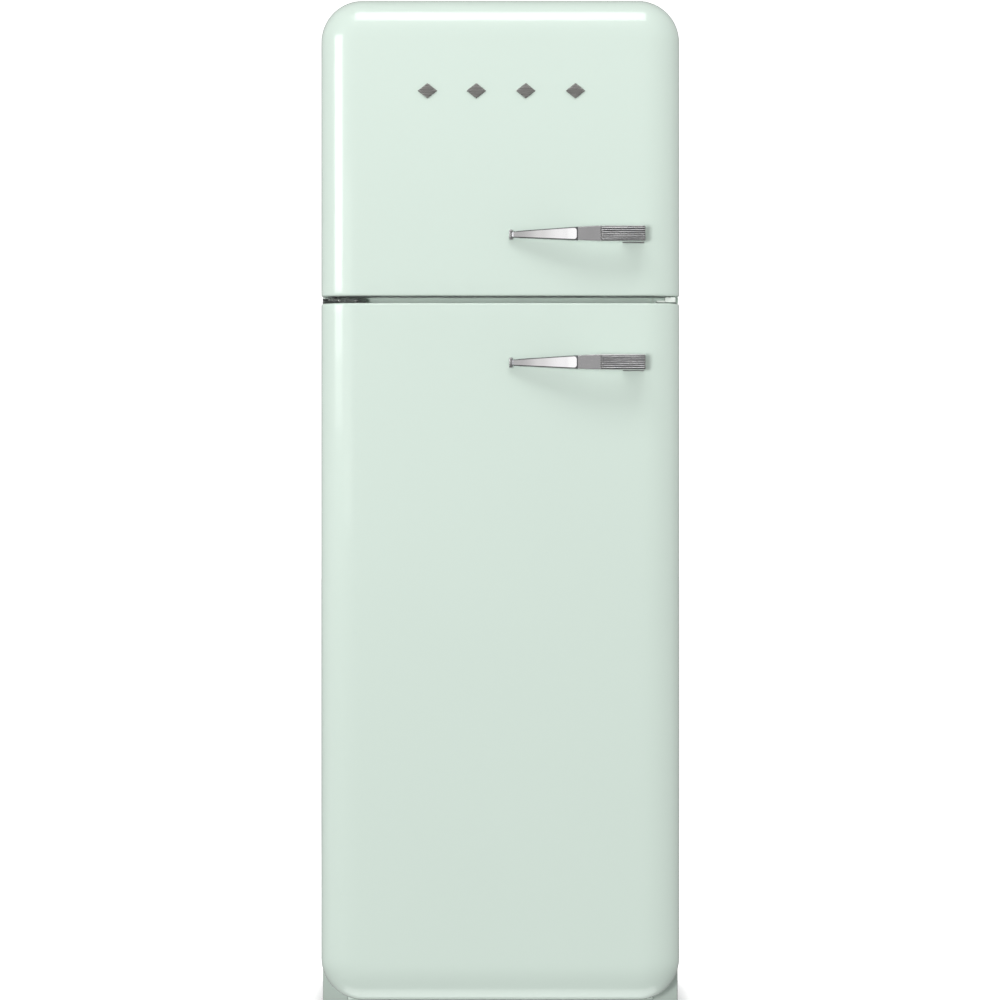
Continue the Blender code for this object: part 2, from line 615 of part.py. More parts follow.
for label, height in SHELVES.items():
    glass_shelf(label, height, SHELF_BACK)

box("crisper_cover", (-CAV_HALF + 0.003, SHELF_FRONT, COVER_Z + GAP), (CAV_HALF - 0.003, STEP_Y - 0.004, COVER_Z + GAP + GLASS),
    "glass", round_r=0.0008, segments=1)
box("freezer_shelf", (-CAV_HALF + 0.003, SHELF_FRONT, FREEZER_SHELF_Z + GAP),
    (CAV_HALF - 0.003, FZ_BACK - 0.013, FREEZER_SHELF_Z + GAP + GLASS), "glass", round_r=0.0008, segments=1)

# Bottle rack: one scalloped tray, with a cradle for each bottle
rack_half, cradles, dip, thick = CAV_HALF - 0.003, 5, 0.014, 0.003
wave = [(-rack_half, 0.0), (-rack_half + 0.016, 0.0)]
pitch = (2 * rack_half - 0.032) / cradles
for i in range(cradles):
    start = -rack_half + 0.016 + i * pitch
    wave += [(start + pitch * s / 8, dip * (-math.sin(math.pi * s / 8)) - 0.0) for s in range(1, 8)]
    wave += [(start + pitch, 0.0)]
wave += [(rack_half, 0.0)]
rack_low = RACK_Z + GAP
rack_outline = [(x, rack_low + z) for x, z in wave] + [(x, rack_low + z + thick) for x, z in reversed(wave)]
plate("bottle_rack", rack_outline, "XZ", SHELF_FRONT, SHELF_BACK - 0.006, "chrome")

# Crisper drawer with a pull lip
open_tray("crisper_drawer", (-0.238, SHELF_FRONT, FR_LOW + 0.0125), (0.238, STEP_Y - 0.014, 0.288), 0.003,
          "clear_plastic", draft=0.008, round_r=0.012)
crisper = bpy.data.objects["crisper_drawer"]
join(crisper, box("crisper_lip", (-0.080, SHELF_FRONT - 0.008, 0.270), (0.080, SHELF_FRONT + 0.001, 0.287)))

# ---------------------------------------------------------------- control and lamp
box("control_housing", (-0.115, -0.050, 1.160), (0.115, 0.200, FR_HIGH - GAP), "white_plastic",
    round_r=0.004, segments=1)
box("lamp_lens", (-0.070, -0.020, 1.1525), (0.030, 0.080, 1.1597), "lamp_lens", round_r=0.003, segments=1)
knob = turned("thermostat_knob", [(0.0, 0.014), (0.0075, 0.014), (0.0095, 0.0125), (0.0095, 0.004), (0.0115, 0.0), (0.0, 0.0)],
       (0.075, -0.0505, 1.1735), "chrome", steps=20, axis="-Y")
join(knob, box("knob_pointer", (0.0738, -0.0662, 1.1745), (0.0762, -0.0600, 1.1822)))


# ---------------------------------------------------------------- door bins
def bin_tray(name, z_low, z_high, depth, half=BIN_HALF):
    """An open bin hung in the door's pocket, its front wall towards the shelves."""
    return open_tray(name, (-half, BIN_FRONT, z_low), (half, BIN_FRONT + depth, z_high), BIN_WALL,
                     "clear_plastic", draft=0.004, round_r=0.010)


bin_tray("freezer_bin_lower", 1.300, 1.365, 0.104)
bin_tray("freezer_bin_upper", 1.470, 1.530, 0.104)
bin_tray("bottle_bin", 0.170, 0.275, 0.116)
bin_tray("door_bin_lower", 0.500, 0.575, 0.108)
bin_tray("door_bin_upper", 0.760, 0.830, 0.108)
bin_tray("dairy_box", 0.955, 1.020, 0.096)
LID_Y, LID_Z = -0.2275, 1.0203  # the lid turns on its rear lower edge
LID_REACH = 0.0929
lid_profile = [(LID_Y, LID_Z), (LID_Y + LID_REACH, LID_Z), (LID_Y + LID_REACH, LID_Z - 0.022),
               (LID_Y + LID_REACH + 0.0025, LID_Z - 0.022), (LID_Y + LID_REACH + 0.0025, LID_Z + 0.0035),
               (LID_Y, LID_Z + 0.0035)]
plate("dairy_lid", lid_profile, "YZ", -BIN_HALF, BIN_HALF, "clear_plastic")


# ---------------------------------------------------------------- door handles
def handle(name, z_mid):
    """Tapered lever grip: low and thin at its tip, broad and ribbed at its outer end, on two posts."""
    stations = [0.0146, 0.0205, 0.075, 0.129, 0.167, 0.2407]
    stand_off = [0.010, 0.0125, 0.026, 0.038, 0.046, 0.046]
    thickness = [0.0055, 0.007, 0.0105, 0.013, 0.0155, 0.0155]
    height = [0.009, 0.0125, 0.0185, 0.0235, 0.0262, 0.0262]
    bm = box_bm((stations[0], -1, -1), (stations[-1], 0, 1))
    for x in stations[1:-1]:
        bmesh.ops.bisect_plane(bm, geom=bm.verts[:] + bm.edges[:] + bm.faces[:], dist=1e-7,
                               plane_co=(x, 0, 0), plane_no=(1, 0, 0))
    for v in bm.verts:
        i = min(range(len(stations)), key=lambda k: abs(stations[k] - v.co.x))
        out = stand_off[i] if v.co.y < -0.5 else stand_off[i] - thickness[i]
        v.co = (stations[i], Y_DOOR_FRONT - out, z_mid + math.copysign(height[i] / 2, v.co.z))
    ridge = [e for e in bm.edges
             if abs((e.verts[0].co - e.verts[1].co).normalized().x) > 0.7
             and (e.verts[0].co.y + e.verts[1].co.y) / 2 < Y_DOOR_FRONT - 0.0001]
    bmesh.ops.bevel(bm, geom=ridge, offset=0.0022, segments=1, profile=0.5, affect="EDGES")
    grip = finish_mesh(name, bm, "chrome")
    join(grip,
         box(name + "_tip_post", (0.0147, Y_DOOR_FRONT - 0.0085, z_mid - 0.0083),
             (0.0215, Y_DOOR_FRONT - GAP, z_mid + 0.0083)),
         box(name + "_end_post", (0.2060, Y_DOOR_FRONT - 0.034, z_mid - 0.0125),
             (0.2400, Y_DOOR_FRONT - GAP, z_mid + 0.0125)))
    return grip


handle("freezer_door_handle", 1.3241)
handle("fridge_door_handle", 1.1107)

# Plain lozenge badge marks in a row on the freezer door
for i, x in enumerate((-0.1215, -0.040, 0.0425, 0.1255)):
    half_w, half_h = 0.0165, 0.0130
    plate(f"badge_mark_{i + 1}",
          [(x - half_w, 1.5645), (x, 1.5645 - half_h), (x + half_w, 1.5645), (x, 1.5645 + half_h)],
          "XZ", Y_DOOR_FRONT - 0.0028, Y_DOOR_FRONT - GAP, "chrome")

# ---------------------------------------------------------------- base, feet and rollers
FOOT_X, FOOT_Y = 0.255, -0.180
ROLL_X, ROLL_Y, ROLL_R = 0.255, 0.300, 0.014
base = box("base_tray", (-0.2975, -0.2200, 0.0315), (0.2975, 0.3370, 0.0335), "steel_grey")
for side in (-1, 1):
    tag = "left" if side < 0 else "right"
    x = side * FOOT_X
    hole = cylinder(f"foot_hole_{tag}", (x, FOOT_Y, 0.0), (x, FOOT_Y, 0.062), 0.0065, sides=12)
    cut(base, hole)
    cut(base_foam, hole)
    turned(f"foot_{tag}",
           [(0.0, 0.056), (0.005, 0.056), (0.005, 0.012), (0.018, 0.010), (0.019, 0.002), (0.018, 0.0), (0.0, 0.0)],
           (x, FOOT_Y, 0.0), "black_plastic", steps=16)
    for j, offset in enumerate((-0.0125, 0.0125)):
        join(base, box(f"roller_lug_{tag}_{j}", (side * ROLL_X + offset - 0.001, ROLL_Y - 0.010, 0.007),
                       (side * ROLL_X + offset + 0.001, ROLL_Y + 0.010, 0.0325)))
    turned(f"roller_{tag}", [(0.0034, 0.0085), (0.0130, 0.0085), (ROLL_R, 0.0070), (ROLL_R, -0.0070), (0.0130, -0.0085), (0.0034, -0.0085)],
           (side * ROLL_X, ROLL_Y, ROLL_R), "black_plastic", steps=20, axis="X")
join(base, cylinder("roller_axle", (-0.275, ROLL_Y, ROLL_R), (0.275, ROLL_Y, ROLL_R), 0.0030, sides=12))

# ---------------------------------------------------------------- refrigeration set in the rear niche
comp = turned("compressor",
              [(0.0, 0.165), (0.035, 0.162), (0.058, 0.148), (0.068, 0.122), (0.070, 0.085), (0.074, 0.083),
               (0.074, 0.078), (0.070, 0.076), (0.068, 0.035), (0.056, 0.012), (0.030, 0.0), (0.0, 0.0)],
              (-0.055, 0.264, 0.0338), "black_paint", steps=20)
comp.scale = (1.12, 0.92, 1.0)
join(comp, box("terminal_box", (0.0050, 0.238, 0.096), (0.0520, 0.290, 0.150)))
open_tray("evaporation_tray", (-0.175, 0.205, 0.1993), (0.080, 0.330, 0.2400), 0.002, "white_plastic", draft=0.004)
pipe = [(0.0230, 0.264, 0.0700), (0.0600, 0.264, 0.0660), (0.1000, 0.264, 0.0650), (0.1280, 0.266, 0.0720),
        (0.1400, 0.272, 0.0950), (0.1440, 0.285, 0.1400), (0.1440, 0.305, 0.1900), (0.1440, 0.325, 0.2250),
        (0.1440, 0.3400, 0.2420), (0.1440, 0.3455, 0.2550), (0.1440, 0.3460, 0.2750)]
tube("suction_pipe", pipe, 0.0032, "copper", resolution=1)

# Condenser: one serpentine tube on two rails that also keep the wall away
RUN_HALF, RUN_PITCH, RUNS, COIL_Y = 0.205, 0.105, 13, 0.3506
coil = []
for run in range(RUNS):
    z = 0.330 + run * RUN_PITCH
    ends = (-1, 1) if run % 2 == 0 else (1, -1)
    coil += [(ends[0] * RUN_HALF, COIL_Y, z), (ends[1] * RUN_HALF, COIL_Y, z)]
    if run < RUNS - 1:
        coil += [(ends[1] * (RUN_HALF + RUN_PITCH / 2 * math.sin(math.pi * k / 6)), COIL_Y,
                  z + RUN_PITCH / 2 * (1 - math.cos(math.pi * k / 6))) for k in range(1, 6)]
tube("condenser_coil", coil, 0.0025, "black_paint", resolution=1)
for side in (-1, 1):
    tag = "left" if side < 0 else "right"
    rail = box(f"condenser_rail_{tag}", (side * 0.185 - 0.008, Y_CAB_BACK + 2 * GAP + 0.001, 0.300),
               (side * 0.185 + 0.008, COIL_Y - 0.0025 - GAP, 1.640), "black_plastic")
    join(rail, box(f"bumper_{tag}", (side * 0.185 - 0.012, Y_CAB_BACK + 2 * GAP + 0.001, 1.625),
                   (side * 0.185 + 0.012, Y_WALL, 1.665)))
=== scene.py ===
import json
import math

import bmesh
import bpy
from mathutils import Matrix, Vector


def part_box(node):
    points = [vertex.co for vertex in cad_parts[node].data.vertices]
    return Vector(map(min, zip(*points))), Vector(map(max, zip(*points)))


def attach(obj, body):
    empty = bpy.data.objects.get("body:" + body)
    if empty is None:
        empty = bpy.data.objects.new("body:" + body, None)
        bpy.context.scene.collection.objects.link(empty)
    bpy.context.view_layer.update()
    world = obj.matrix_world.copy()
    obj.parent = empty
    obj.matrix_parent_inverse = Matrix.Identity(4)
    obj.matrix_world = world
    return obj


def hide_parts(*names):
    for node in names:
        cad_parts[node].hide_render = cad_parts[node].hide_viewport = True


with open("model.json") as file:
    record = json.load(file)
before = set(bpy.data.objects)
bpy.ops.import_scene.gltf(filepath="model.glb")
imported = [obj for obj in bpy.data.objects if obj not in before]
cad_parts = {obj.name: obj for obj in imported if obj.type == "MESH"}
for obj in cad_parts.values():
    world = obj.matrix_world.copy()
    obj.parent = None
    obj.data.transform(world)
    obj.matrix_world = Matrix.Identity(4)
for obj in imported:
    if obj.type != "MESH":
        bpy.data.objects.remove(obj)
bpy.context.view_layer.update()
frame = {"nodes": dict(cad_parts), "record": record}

NODES = frame["nodes"]
GAP = 0.0003

# Places read from the frame
SKIN_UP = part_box("freezer_door_skin")
SKIN_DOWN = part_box("fridge_door_skin")
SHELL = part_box("cabinet_shell")
HALF_W = SKIN_UP[1].x
TOP = SKIN_UP[1].z
BOTTOM = SKIN_DOWN[0].z
Z_GAP_LOW = SKIN_DOWN[1].z
Z_GAP_HIGH = SKIN_UP[0].z
Y_FACE = SKIN_UP[0].y
Y_DOOR_BACK = SKIN_UP[1].y
Y_CAB_FRONT = SHELL[0].y
Y_CAB_BACK = SHELL[1].y
CORNER_R = 0.070


# ------------------------------------------------------------------ materials
class Graph:
    """Short names for building one material's nodes."""

    def __init__(self, name, **sockets):
        self.mat = bpy.data.materials.new(name)
        self.mat.use_nodes = True
        self.tree = self.mat.node_tree
        self.bsdf = self.tree.nodes["Principled BSDF"]
        self.coords = None
        for socket, value in sockets.items():
            self.bsdf.inputs[socket.replace("_", " ")].default_value = value

    def node(self, kind, **settings):
        made = self.tree.nodes.new(kind)
        for key, value in settings.items():
            if key in made.inputs:
                made.inputs[key].default_value = value
            else:
                setattr(made, key, value)
        return made

    def link(self, a, b):
        self.tree.links.new(a, b)

    def place(self, scale=(1, 1, 1)):
        """Object coordinates, which are metres in the row frame, stretched by scale."""
        if self.coords is None:
            self.coords = self.node("ShaderNodeTexCoord")
        mapping = self.node("ShaderNodeMapping")
        mapping.inputs["Scale"].default_value = scale
        self.link(self.coords.outputs["Object"], mapping.inputs["Vector"])
        return mapping.outputs["Vector"]

    def noise(self, scale, detail=2.0, roughness=0.5, stretch=(1, 1, 1)):
        made = self.node("ShaderNodeTexNoise", Scale=scale, Detail=detail, Roughness=roughness)
        self.link(self.place(stretch), made.inputs["Vector"])
        return made.outputs["Fac"]

    def voronoi(self, scale, stretch=(1, 1, 1), feature="F1"):
        made = self.node("ShaderNodeTexVoronoi", Scale=scale)
        made.feature = feature
        self.link(self.place(stretch), made.inputs["Vector"])
        return made.outputs["Distance"]

    def wave(self, scale, direction="X", distortion=0.0):
        made = self.node("ShaderNodeTexWave", Scale=scale, Distortion=distortion)
        made.bands_direction = direction
        self.link(self.place(), made.inputs["Vector"])
        return made.outputs["Fac"]

    def spread(self, fac, low, high, a=0.15, b=0.85):
        made = self.node("ShaderNodeMapRange")
        made.interpolation_type = "SMOOTHERSTEP"
        made.inputs["From Min"].default_value = a
        made.inputs["From Max"].default_value = b
        made.inputs["To Min"].default_value = low
        made.inputs["To Max"].default_value = high
        self.link(fac, made.inputs["Value"])
        return made.outputs["Result"]

    def colours(self, fac, *stops):
        ramp = self.node("ShaderNodeValToRGB")
        ramp.color_ramp.interpolation = "EASE"
        elements = ramp.color_ramp.elements
        while len(elements) < len(stops):
            elements.new(0.5)
        for element, (position, colour) in zip(elements, stops):
            element.position = position
            element.color = (*colour, 1.0)
        self.link(fac, ramp.inputs["Fac"])
        return ramp.outputs["Color"]

    def set(self, socket, output):
        self.link(output, self.bsdf.inputs[socket])

    def bump(self, height, strength, distance, chain=None):
        made = self.node("ShaderNodeBump", Strength=strength, Distance=distance)
        self.link(height, made.inputs["Height"])
        if chain is not None:
            self.link(chain, made.inputs["Normal"])
        return made.outputs["Normal"]


def tone(colour, k):
    return tuple(min(1.0, c * k) for c in colour)


MINT = (0.742, 0.871, 0.786)


def enamel(name, colour, coat=1.0):
    """Gloss enamel over steel: faint orange peel, slight tint drift, a hard clear coat."""
    g = Graph(name, Metallic=0.0, Coat_Weight=coat, Coat_Roughness=0.035, Coat_IOR=1.5,
              Specular_IOR_Level=0.5)
    drift = g.noise(2.2, 1.0)
    g.set("Base Color", g.colours(drift, (0.10, tone(colour, 0.985)), (0.90, tone(colour, 1.010))))
    g.set("Roughness", g.spread(g.noise(9.0, 1.0), 0.28, 0.33))
    peel = g.noise(160.0, 1.0, 0.3)
    g.set("Coat Normal", g.bump(peel, 0.012, 0.0002))
    return g.mat


def plated(name, colour, rough, grain=(1, 1, 1), scratch=0.10):
    """Polished plate: hairline scratches along the grain and a slight haze."""
    g = Graph(name, Metallic=1.0)
    haze = g.noise(30.0, 4.0, 0.6)
    g.set("Base Color", g.colours(haze, (0.30, tone(colour, 0.95)), (0.70, colour)))
    lines = g.noise(420.0, 2.0, 0.6, stretch=grain)
    g.set("Roughness", g.spread(lines, rough * 0.7, rough * 1.7, 0.3, 0.7))
    g.set("Normal", g.bump(lines, scratch, 0.0001))
    return g.mat


def painted_reflection_plate(name):
    """Polished plate with a painted reflection: its colour runs from dark grey at the lever's thin end to white at its
    far end.
    """
    g = Graph(name, Metallic=1.0)
    axes = g.node("ShaderNodeSeparateXYZ")
    g.link(g.place(), axes.inputs[0])
    along = g.spread(axes.outputs["X"], 0.0, 1.0, 0.010, 0.130)
    g.set("Base Color", g.colours(along, (0.0, (0.46, 0.455, 0.455)), (0.45, (0.70, 0.69, 0.69)), (0.96, (0.90, 0.89, 0.90)),
                                  (1.0, (1.0, 1.0, 1.0))))
    lines = g.noise(420.0, 2.0, 0.6, stretch=(0.08, 1, 1))
    g.set("Roughness", g.spread(lines, 0.04, 0.09, 0.3, 0.7))
    g.set("Normal", g.bump(lines, 0.05, 0.0001))
    return g.mat


def moulded(name, colour, rough=0.3, grain=650.0, depth=0.12, coat=0.0, drift=0.03, **extra):
    """Moulded or formed plastic: fine surface texture, slight colour and gloss drift."""
    g = Graph(name, Metallic=0.0, Coat_Weight=coat, **extra)
    big = g.noise(6.0, 1.0)
    g.set("Base Color", g.colours(big, (0.10, tone(colour, 1 - drift)), (0.90, colour)))
    g.set("Roughness", g.spread(g.noise(14.0, 1.0), rough * 0.85, rough * 1.2))
    g.set("Normal", g.bump(g.noise(grain, 1.0), depth * 0.35, 0.0002))
    return g.mat


def clear(name, colour, rough, alpha, ripple=0.02, ior=1.5):
    """Thin clear sheet: what is behind it shows through, and its surface keeps its gloss."""
    g = Graph(name, Alpha=alpha, IOR=ior, Metallic=0.0, Specular_IOR_Level=0.7, Coat_Weight=0.6, Coat_Roughness=0.02)
    g.set("Base Color", g.colours(g.noise(5.0, 1.0), (0.10, tone(colour, 0.965)), (0.90, colour)))
    g.set("Roughness", g.spread(g.noise(12.0, 1.0), rough, rough + 0.04))
    g.set("Normal", g.bump(g.noise(18.0, 1.0), ripple, 0.0004))
    return g.mat


M = {
    "mint_paint": enamel("mint_enamel", MINT),
    # A darker copy of the body enamel, a painted shade, used on the lower hinge arm and the end of the blanking cover.
    "mint_shadow": enamel("mint_enamel_painted_shade", tone(MINT, 0.93)),
    "chrome": plated("chrome_plate", (0.88, 0.87, 0.88), 0.10, grain=(0.05, 1, 1)),
    "chrome_bright": painted_reflection_plate("chrome_painted_reflection"),
    "chrome_satin": plated("chrome_satin", (0.50, 0.50, 0.50), 0.26, grain=(0.04, 1, 1), scratch=0.16),
    # A dark plate used on the lever grip as painted dark reflection and painted shade in the rib grooves.
    "chrome_dark": plated("chrome_dark", (0.22, 0.22, 0.23), 0.14, grain=(0.05, 1, 1)),
    "badge": plated("badge_metal", (0.50, 0.49, 0.47), 0.24, grain=(0.05, 1, 1), scratch=0.15),
    "hinge_steel": plated("hinge_coated_steel", (0.22, 0.23, 0.225), 0.34, scratch=0.22),
    "steel_grey": moulded("zinc_coated_sheet", (0.47, 0.48, 0.49), 0.42, grain=260.0, depth=0.10, drift=0.10),
    "white_plastic": moulded("white_formed_plastic", (0.86, 0.88, 0.87), 0.32, grain=240.0, depth=0.015),
    "white_satin": moulded("white_satin_plastic", (0.83, 0.85, 0.84), 0.42, grain=300.0, depth=0.03),
    "pale_mint_plastic": moulded("pale_mint_plastic", (0.80, 0.89, 0.82), 0.25, grain=800.0, depth=0.08),
    "foam": moulded("rigid_foam", (0.80, 0.72, 0.46), 0.85, grain=420.0, depth=0.55, drift=0.15),
    "gasket_grey": moulded("soft_gasket", (0.62, 0.66, 0.63), 0.60, grain=700.0, depth=0.20),
    "glass": clear("shelf_glass", (0.80, 0.91, 0.87), 0.03, 0.22, 0.004),
    "glass_edge": clear("shelf_glass_edge", (0.38, 0.66, 0.56), 0.12, 0.85, 0.02),
    "clear_plastic": clear("clear_plastic", (0.86, 0.92, 0.93), 0.06, 0.26, 0.03),
    "black_paint": moulded("satin_black_paint", (0.022, 0.022, 0.024), 0.36, grain=300.0, depth=0.14, drift=0.25),
    "copper": plated("copper_tube", (0.70, 0.34, 0.19), 0.28, scratch=0.16),
    "aluminium": plated("drawn_aluminium", (0.72, 0.73, 0.74), 0.32, grain=(0.05, 1, 1), scratch=0.2),
    "black_plastic": moulded("black_plastic", (0.028, 0.028, 0.029), 0.50, grain=900.0, depth=0.22, drift=0.2),
    "lamp_lens": moulded("lamp_lens", (0.90, 0.91, 0.86), 0.30, grain=300.0, depth=0.10,
                         Emission_Color=(1.0, 0.95, 0.86, 1.0), Emission_Strength=9.0),
    # A lighter copy of the body enamel for the front cross rail: painted light that brightens the rail in the shaded
    # gap between the doors.
    "rail_paint": enamel("rail_enamel", tone(MINT, 1.10)),
    "cover_white": moulded("cover_white_plastic", (0.90, 0.97, 0.91), 0.22, grain=700.0, depth=0.05),
    "bright_zinc": plated("bright_zinc_plate", (0.68, 0.69, 0.68), 0.22, scratch=0.18),
    "cast_metal": plated("cast_dark_metal", (0.52, 0.55, 0.53), 0.36, scratch=0.35),
    "smoke_plastic": clear("tinted_clear_plastic", (0.80, 0.89, 0.90), 0.06, 0.34, 0.03),
    "inner_steel": moulded("back_of_sheet", (0.52, 0.56, 0.53), 0.5, grain=260.0, depth=0.12),
}

SLOT_OF = {s["node"]: s["material_slot"] for s in frame["record"]["subparts"]}
for name, node in NODES.items():
    node.data.materials.clear()
    node.data.materials.append(M[SLOT_OF[name]])
NODES["insulation_base"].data.materials[0] = M["steel_grey"]  # its open faces line the compressor bay


# ------------------------------------------------------------------ geometry helpers
def put(name, mesh, material, body, replaces=(), smooth=35.0):
    """Adds a piece: its finish, its CAD body, and the CAD nodes that it stands for."""
    mesh.name = name
    mesh.materials.clear()
    mesh.materials.append(M[material])
    if smooth:
        mesh.shade_smooth()
        mesh.set_sharp_from_angle(angle=math.radians(smooth))
    obj = bpy.data.objects.new(name, mesh)
    bpy.context.scene.collection.objects.link(obj)
    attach(obj, body)
    if replaces:
        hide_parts(*replaces)
    return obj


def from_bm(bm, recalc=False):
    if recalc:
        bmesh.ops.recalc_face_normals(bm, faces=bm.faces)
    mesh = bpy.data.meshes.new("m")
    bm.to_mesh(mesh)
    bm.free()
    return mesh


def face_out(bm, centre, outwards=True):
    """Makes the faces of an open surface look away from a point, or towards it."""
    bmesh.ops.recalc_face_normals(bm, faces=bm.faces)
    bm.normal_update()
    centre = Vector(centre)
    score = sum(f.calc_area() * (f.calc_center_median() - centre).dot(f.normal) for f in bm.faces)
    if (score < 0) == outwards:
        bmesh.ops.reverse_faces(bm, faces=bm.faces)


def ring(hx, hz, r, n=8, mx=1, mz=1):
    """A rounded rectangle about (0, 0), counter-clockwise from the right end of the bottom side's middle.
    Always the same number of points for the same n, mx and mz."""
    r = max(min(r, hx - 1e-6, hz - 1e-6), 1e-5)
    points = []
    sides = (((hx - r, -hz + r), -90), ((hx - r, hz - r), 0), ((-hx + r, hz - r), 90), ((-hx + r, -hz + r), 180))
    counts = (mz, mx, mz, mx)
    corners = []
    for (cx, cz), start in sides:
        corners.append([(cx + r * math.cos(math.radians(start + 90 * i / n)),
                         cz + r * math.sin(math.radians(start + 90 * i / n))) for i in range(n + 1)])
    for k in range(4):
        points += corners[k]
        a, b = corners[k][-1], corners[(k + 1) % 4][0]
        for i in range(1, counts[k]):
            t = i / counts[k]
            points.append((a[0] + (b[0] - a[0]) * t, a[1] + (b[1] - a[1]) * t))
    return points


def stack(bm, loops, wrap=False, cap_start=False, cap_end=False):
    """Joins equal loops of points into a surface."""
    rows = [[bm.verts.new(p) for p in loop] for loop in loops]
    pairs = list(zip(rows, rows[1:]))
    if wrap:
        pairs.append((rows[-1], rows[0]))
    count = len(rows[0])
    for a, b in pairs:
        for i in range(count):
            j = (i + 1) % count
            bm.faces.new((a[i], a[j], b[j], b[i]))
    if cap_start:
        bm.faces.new(rows[0])
    if cap_end:
        bm.faces.new(rows[-1])
    return rows


def in_xz(points, y, z_mid=0.0, x_mid=0.0):
    return [(x + x_mid, y, z + z_mid) for x, z in points]


def in_xy(points, z, x_mid=0.0, y_mid=0.0):
    return [(x + x_mid, y + y_mid, z) for x, y in points]


def block(lo, hi, radius=0.002, segments=3):
    """A rounded block as a bmesh."""
    lo, hi = Vector(lo), Vector(hi)
    bm = bmesh.new()
    bmesh.ops.create_cube(bm, size=1.0)
    bmesh.ops.scale(bm, vec=hi - lo, verts=bm.verts)
    bmesh.ops.translate(bm, vec=(lo + hi) / 2, verts=bm.verts)
    radius = min(radius, 0.49 * min(hi - lo))
    bmesh.ops.bevel(bm, geom=bm.edges[:], offset=radius, segments=segments, profile=0.5, affect="EDGES")
    return bm


def merge(target, *sources):
    """Copies bmeshes into one."""
    for source in sources:
        mesh = bpy.data.meshes.new("t")
        source.to_mesh(mesh)
        source.free()
        target.from_mesh(mesh)
        bpy.data.meshes.remove(mesh)
    return target


def lathe(profile, steps=32, matrix=Matrix.Identity(4)):
    """A closed turned solid: profile of (radius, height) from the axis at one end to the axis at the other."""
    bm = bmesh.new()
    rows = []
    for r, h in profile:
        if r < 1e-7:
            rows.append([bm.verts.new((0, 0, h))])
        else:
            rows.append([bm.verts.new((r * math.cos(2 * math.pi * i / steps),
                                       r * math.sin(2 * math.pi * i / steps), h)) for i in range(steps)])
    for a, b in zip(rows, rows[1:]):
        for i in range(steps):
            j = (i + 1) % steps
            if len(a) == 1 and len(b) == 1:
                continue
            if len(a) == 1:
                bm.faces.new((a[0], b[j], b[i]))
            elif len(b) == 1:
                bm.faces.new((a[i], a[j], b[0]))
            else:
                bm.faces.new((a[i], a[j], b[j], b[i]))
    bmesh.ops.recalc_face_normals(bm, faces=bm.faces)
    bmesh.ops.transform(bm, matrix=matrix, verts=bm.verts)
    return bm


def lathe_ring(profile, steps=32, matrix=Matrix.Identity(4)):
    """A turned solid with a hole: a closed profile that doesn't meet the axis."""
    bm = bmesh.new()
    rows = [[bm.verts.new((r * math.cos(2 * math.pi * i / steps), r * math.sin(2 * math.pi * i / steps), h))
             for i in range(steps)] for r, h in profile]
    for a, b in zip(rows, rows[1:] + rows[:1]):
        for i in range(steps):
            j = (i + 1) % steps
            bm.faces.new((a[i], a[j], b[j], b[i]))
    bmesh.ops.recalc_face_normals(bm, faces=bm.faces)
    bmesh.ops.transform(bm, matrix=matrix, verts=bm.verts)
    return bm


def pipe(points, radius, sides=10, closed=False):
    """A round tube along points, with its frame carried along so that it doesn't twist."""
    points = [Vector(p) for p in points]
    bm = bmesh.new()
    count = len(points)
    tangents = []
    for i, p in enumerate(points):
        a = points[(i - 1) % count] if closed or i else p
        b = points[(i + 1) % count] if closed or i < count - 1 else p
        tangents.append((b - a).normalized())
    side = tangents[0].orthogonal().normalized()
    rows = []
    for p, t in zip(points, tangents):
        side = (side - t * side.dot(t)).normalized()
        up = t.cross(side)
        rows.append([bm.verts.new(p + radius * (side * math.cos(2 * math.pi * k / sides)
                                                + up * math.sin(2 * math.pi * k / sides)))
                     for k in range(sides)])
    pairs = list(zip(rows, rows[1:])) + ([(rows[-1], rows[0])] if closed else [])
    for a, b in pairs:
        for i in range(sides):
            j = (i + 1) % sides
            bm.faces.new((a[i], a[j], b[j], b[i]))
    if not closed:
        bm.faces.new(rows[0][::-1])
        bm.faces.new(rows[-1])
    bmesh.ops.recalc_face_normals(bm, faces=bm.faces)
    return bm


def prism(outline, low, high, plane, radius=0.0, segments=2):
    """A flat outline given thickness and rounded edges. plane is XY, XZ or YZ; low and high are along the third axis."""
    put_at = {"XY": lambda u, v, w: (u, v, w), "XZ": lambda u, v, w: (u, w, v), "YZ": lambda u, v, w: (w, u, v)}[plane]
    bm = bmesh.new()
    a = [bm.verts.new(put_at(u, v, low)) for u, v in outline]
    b = [bm.verts.new(put_at(u, v, high)) for u, v in outline]
    bm.faces.new(a)
    bm.faces.new(b)
    for i in range(len(a)):
        j = (i + 1) % len(a)
        bm.faces.new((a[i], a[j], b[j], b[i]))
    bmesh.ops.recalc_face_normals(bm, faces=bm.faces)
    if radius:
        rim = [e for e in bm.edges if len(e.link_faces) == 2 and any(len(f.verts) == len(a) for f in e.link_faces)]
        bmesh.ops.bevel(bm, geom=rim, offset=radius, segments=segments, profile=0.5, affect="EDGES")
    return bm


def screw_head(centre, normal, radius=0.0035, height=0.0012):
    """A pan-head screw with a cross recess."""
    normal = Vector(normal).normalized()
    turn = normal.to_track_quat("Z", "Y").to_matrix().to_4x4()
    m = Matrix.Translation(Vector(centre)) @ turn
    head = lathe([(0, height * 0.86), (radius * 0.45, height), (radius * 0.80, height * 0.8),
                  (radius, height * 0.25), (radius, 0.0), (0, 0.0)], 20, m)
    for angle in (0.0, math.pi / 2):
        bar = block((-radius * 0.55, -radius * 0.09, height * 0.80), (radius * 0.55, radius * 0.09, height * 1.06), 0.00005, 1)
        bmesh.ops.transform(bar, matrix=m @ Matrix.Rotation(angle, 4, "Z"), verts=bar.verts)
        merge(head, bar)
    return head


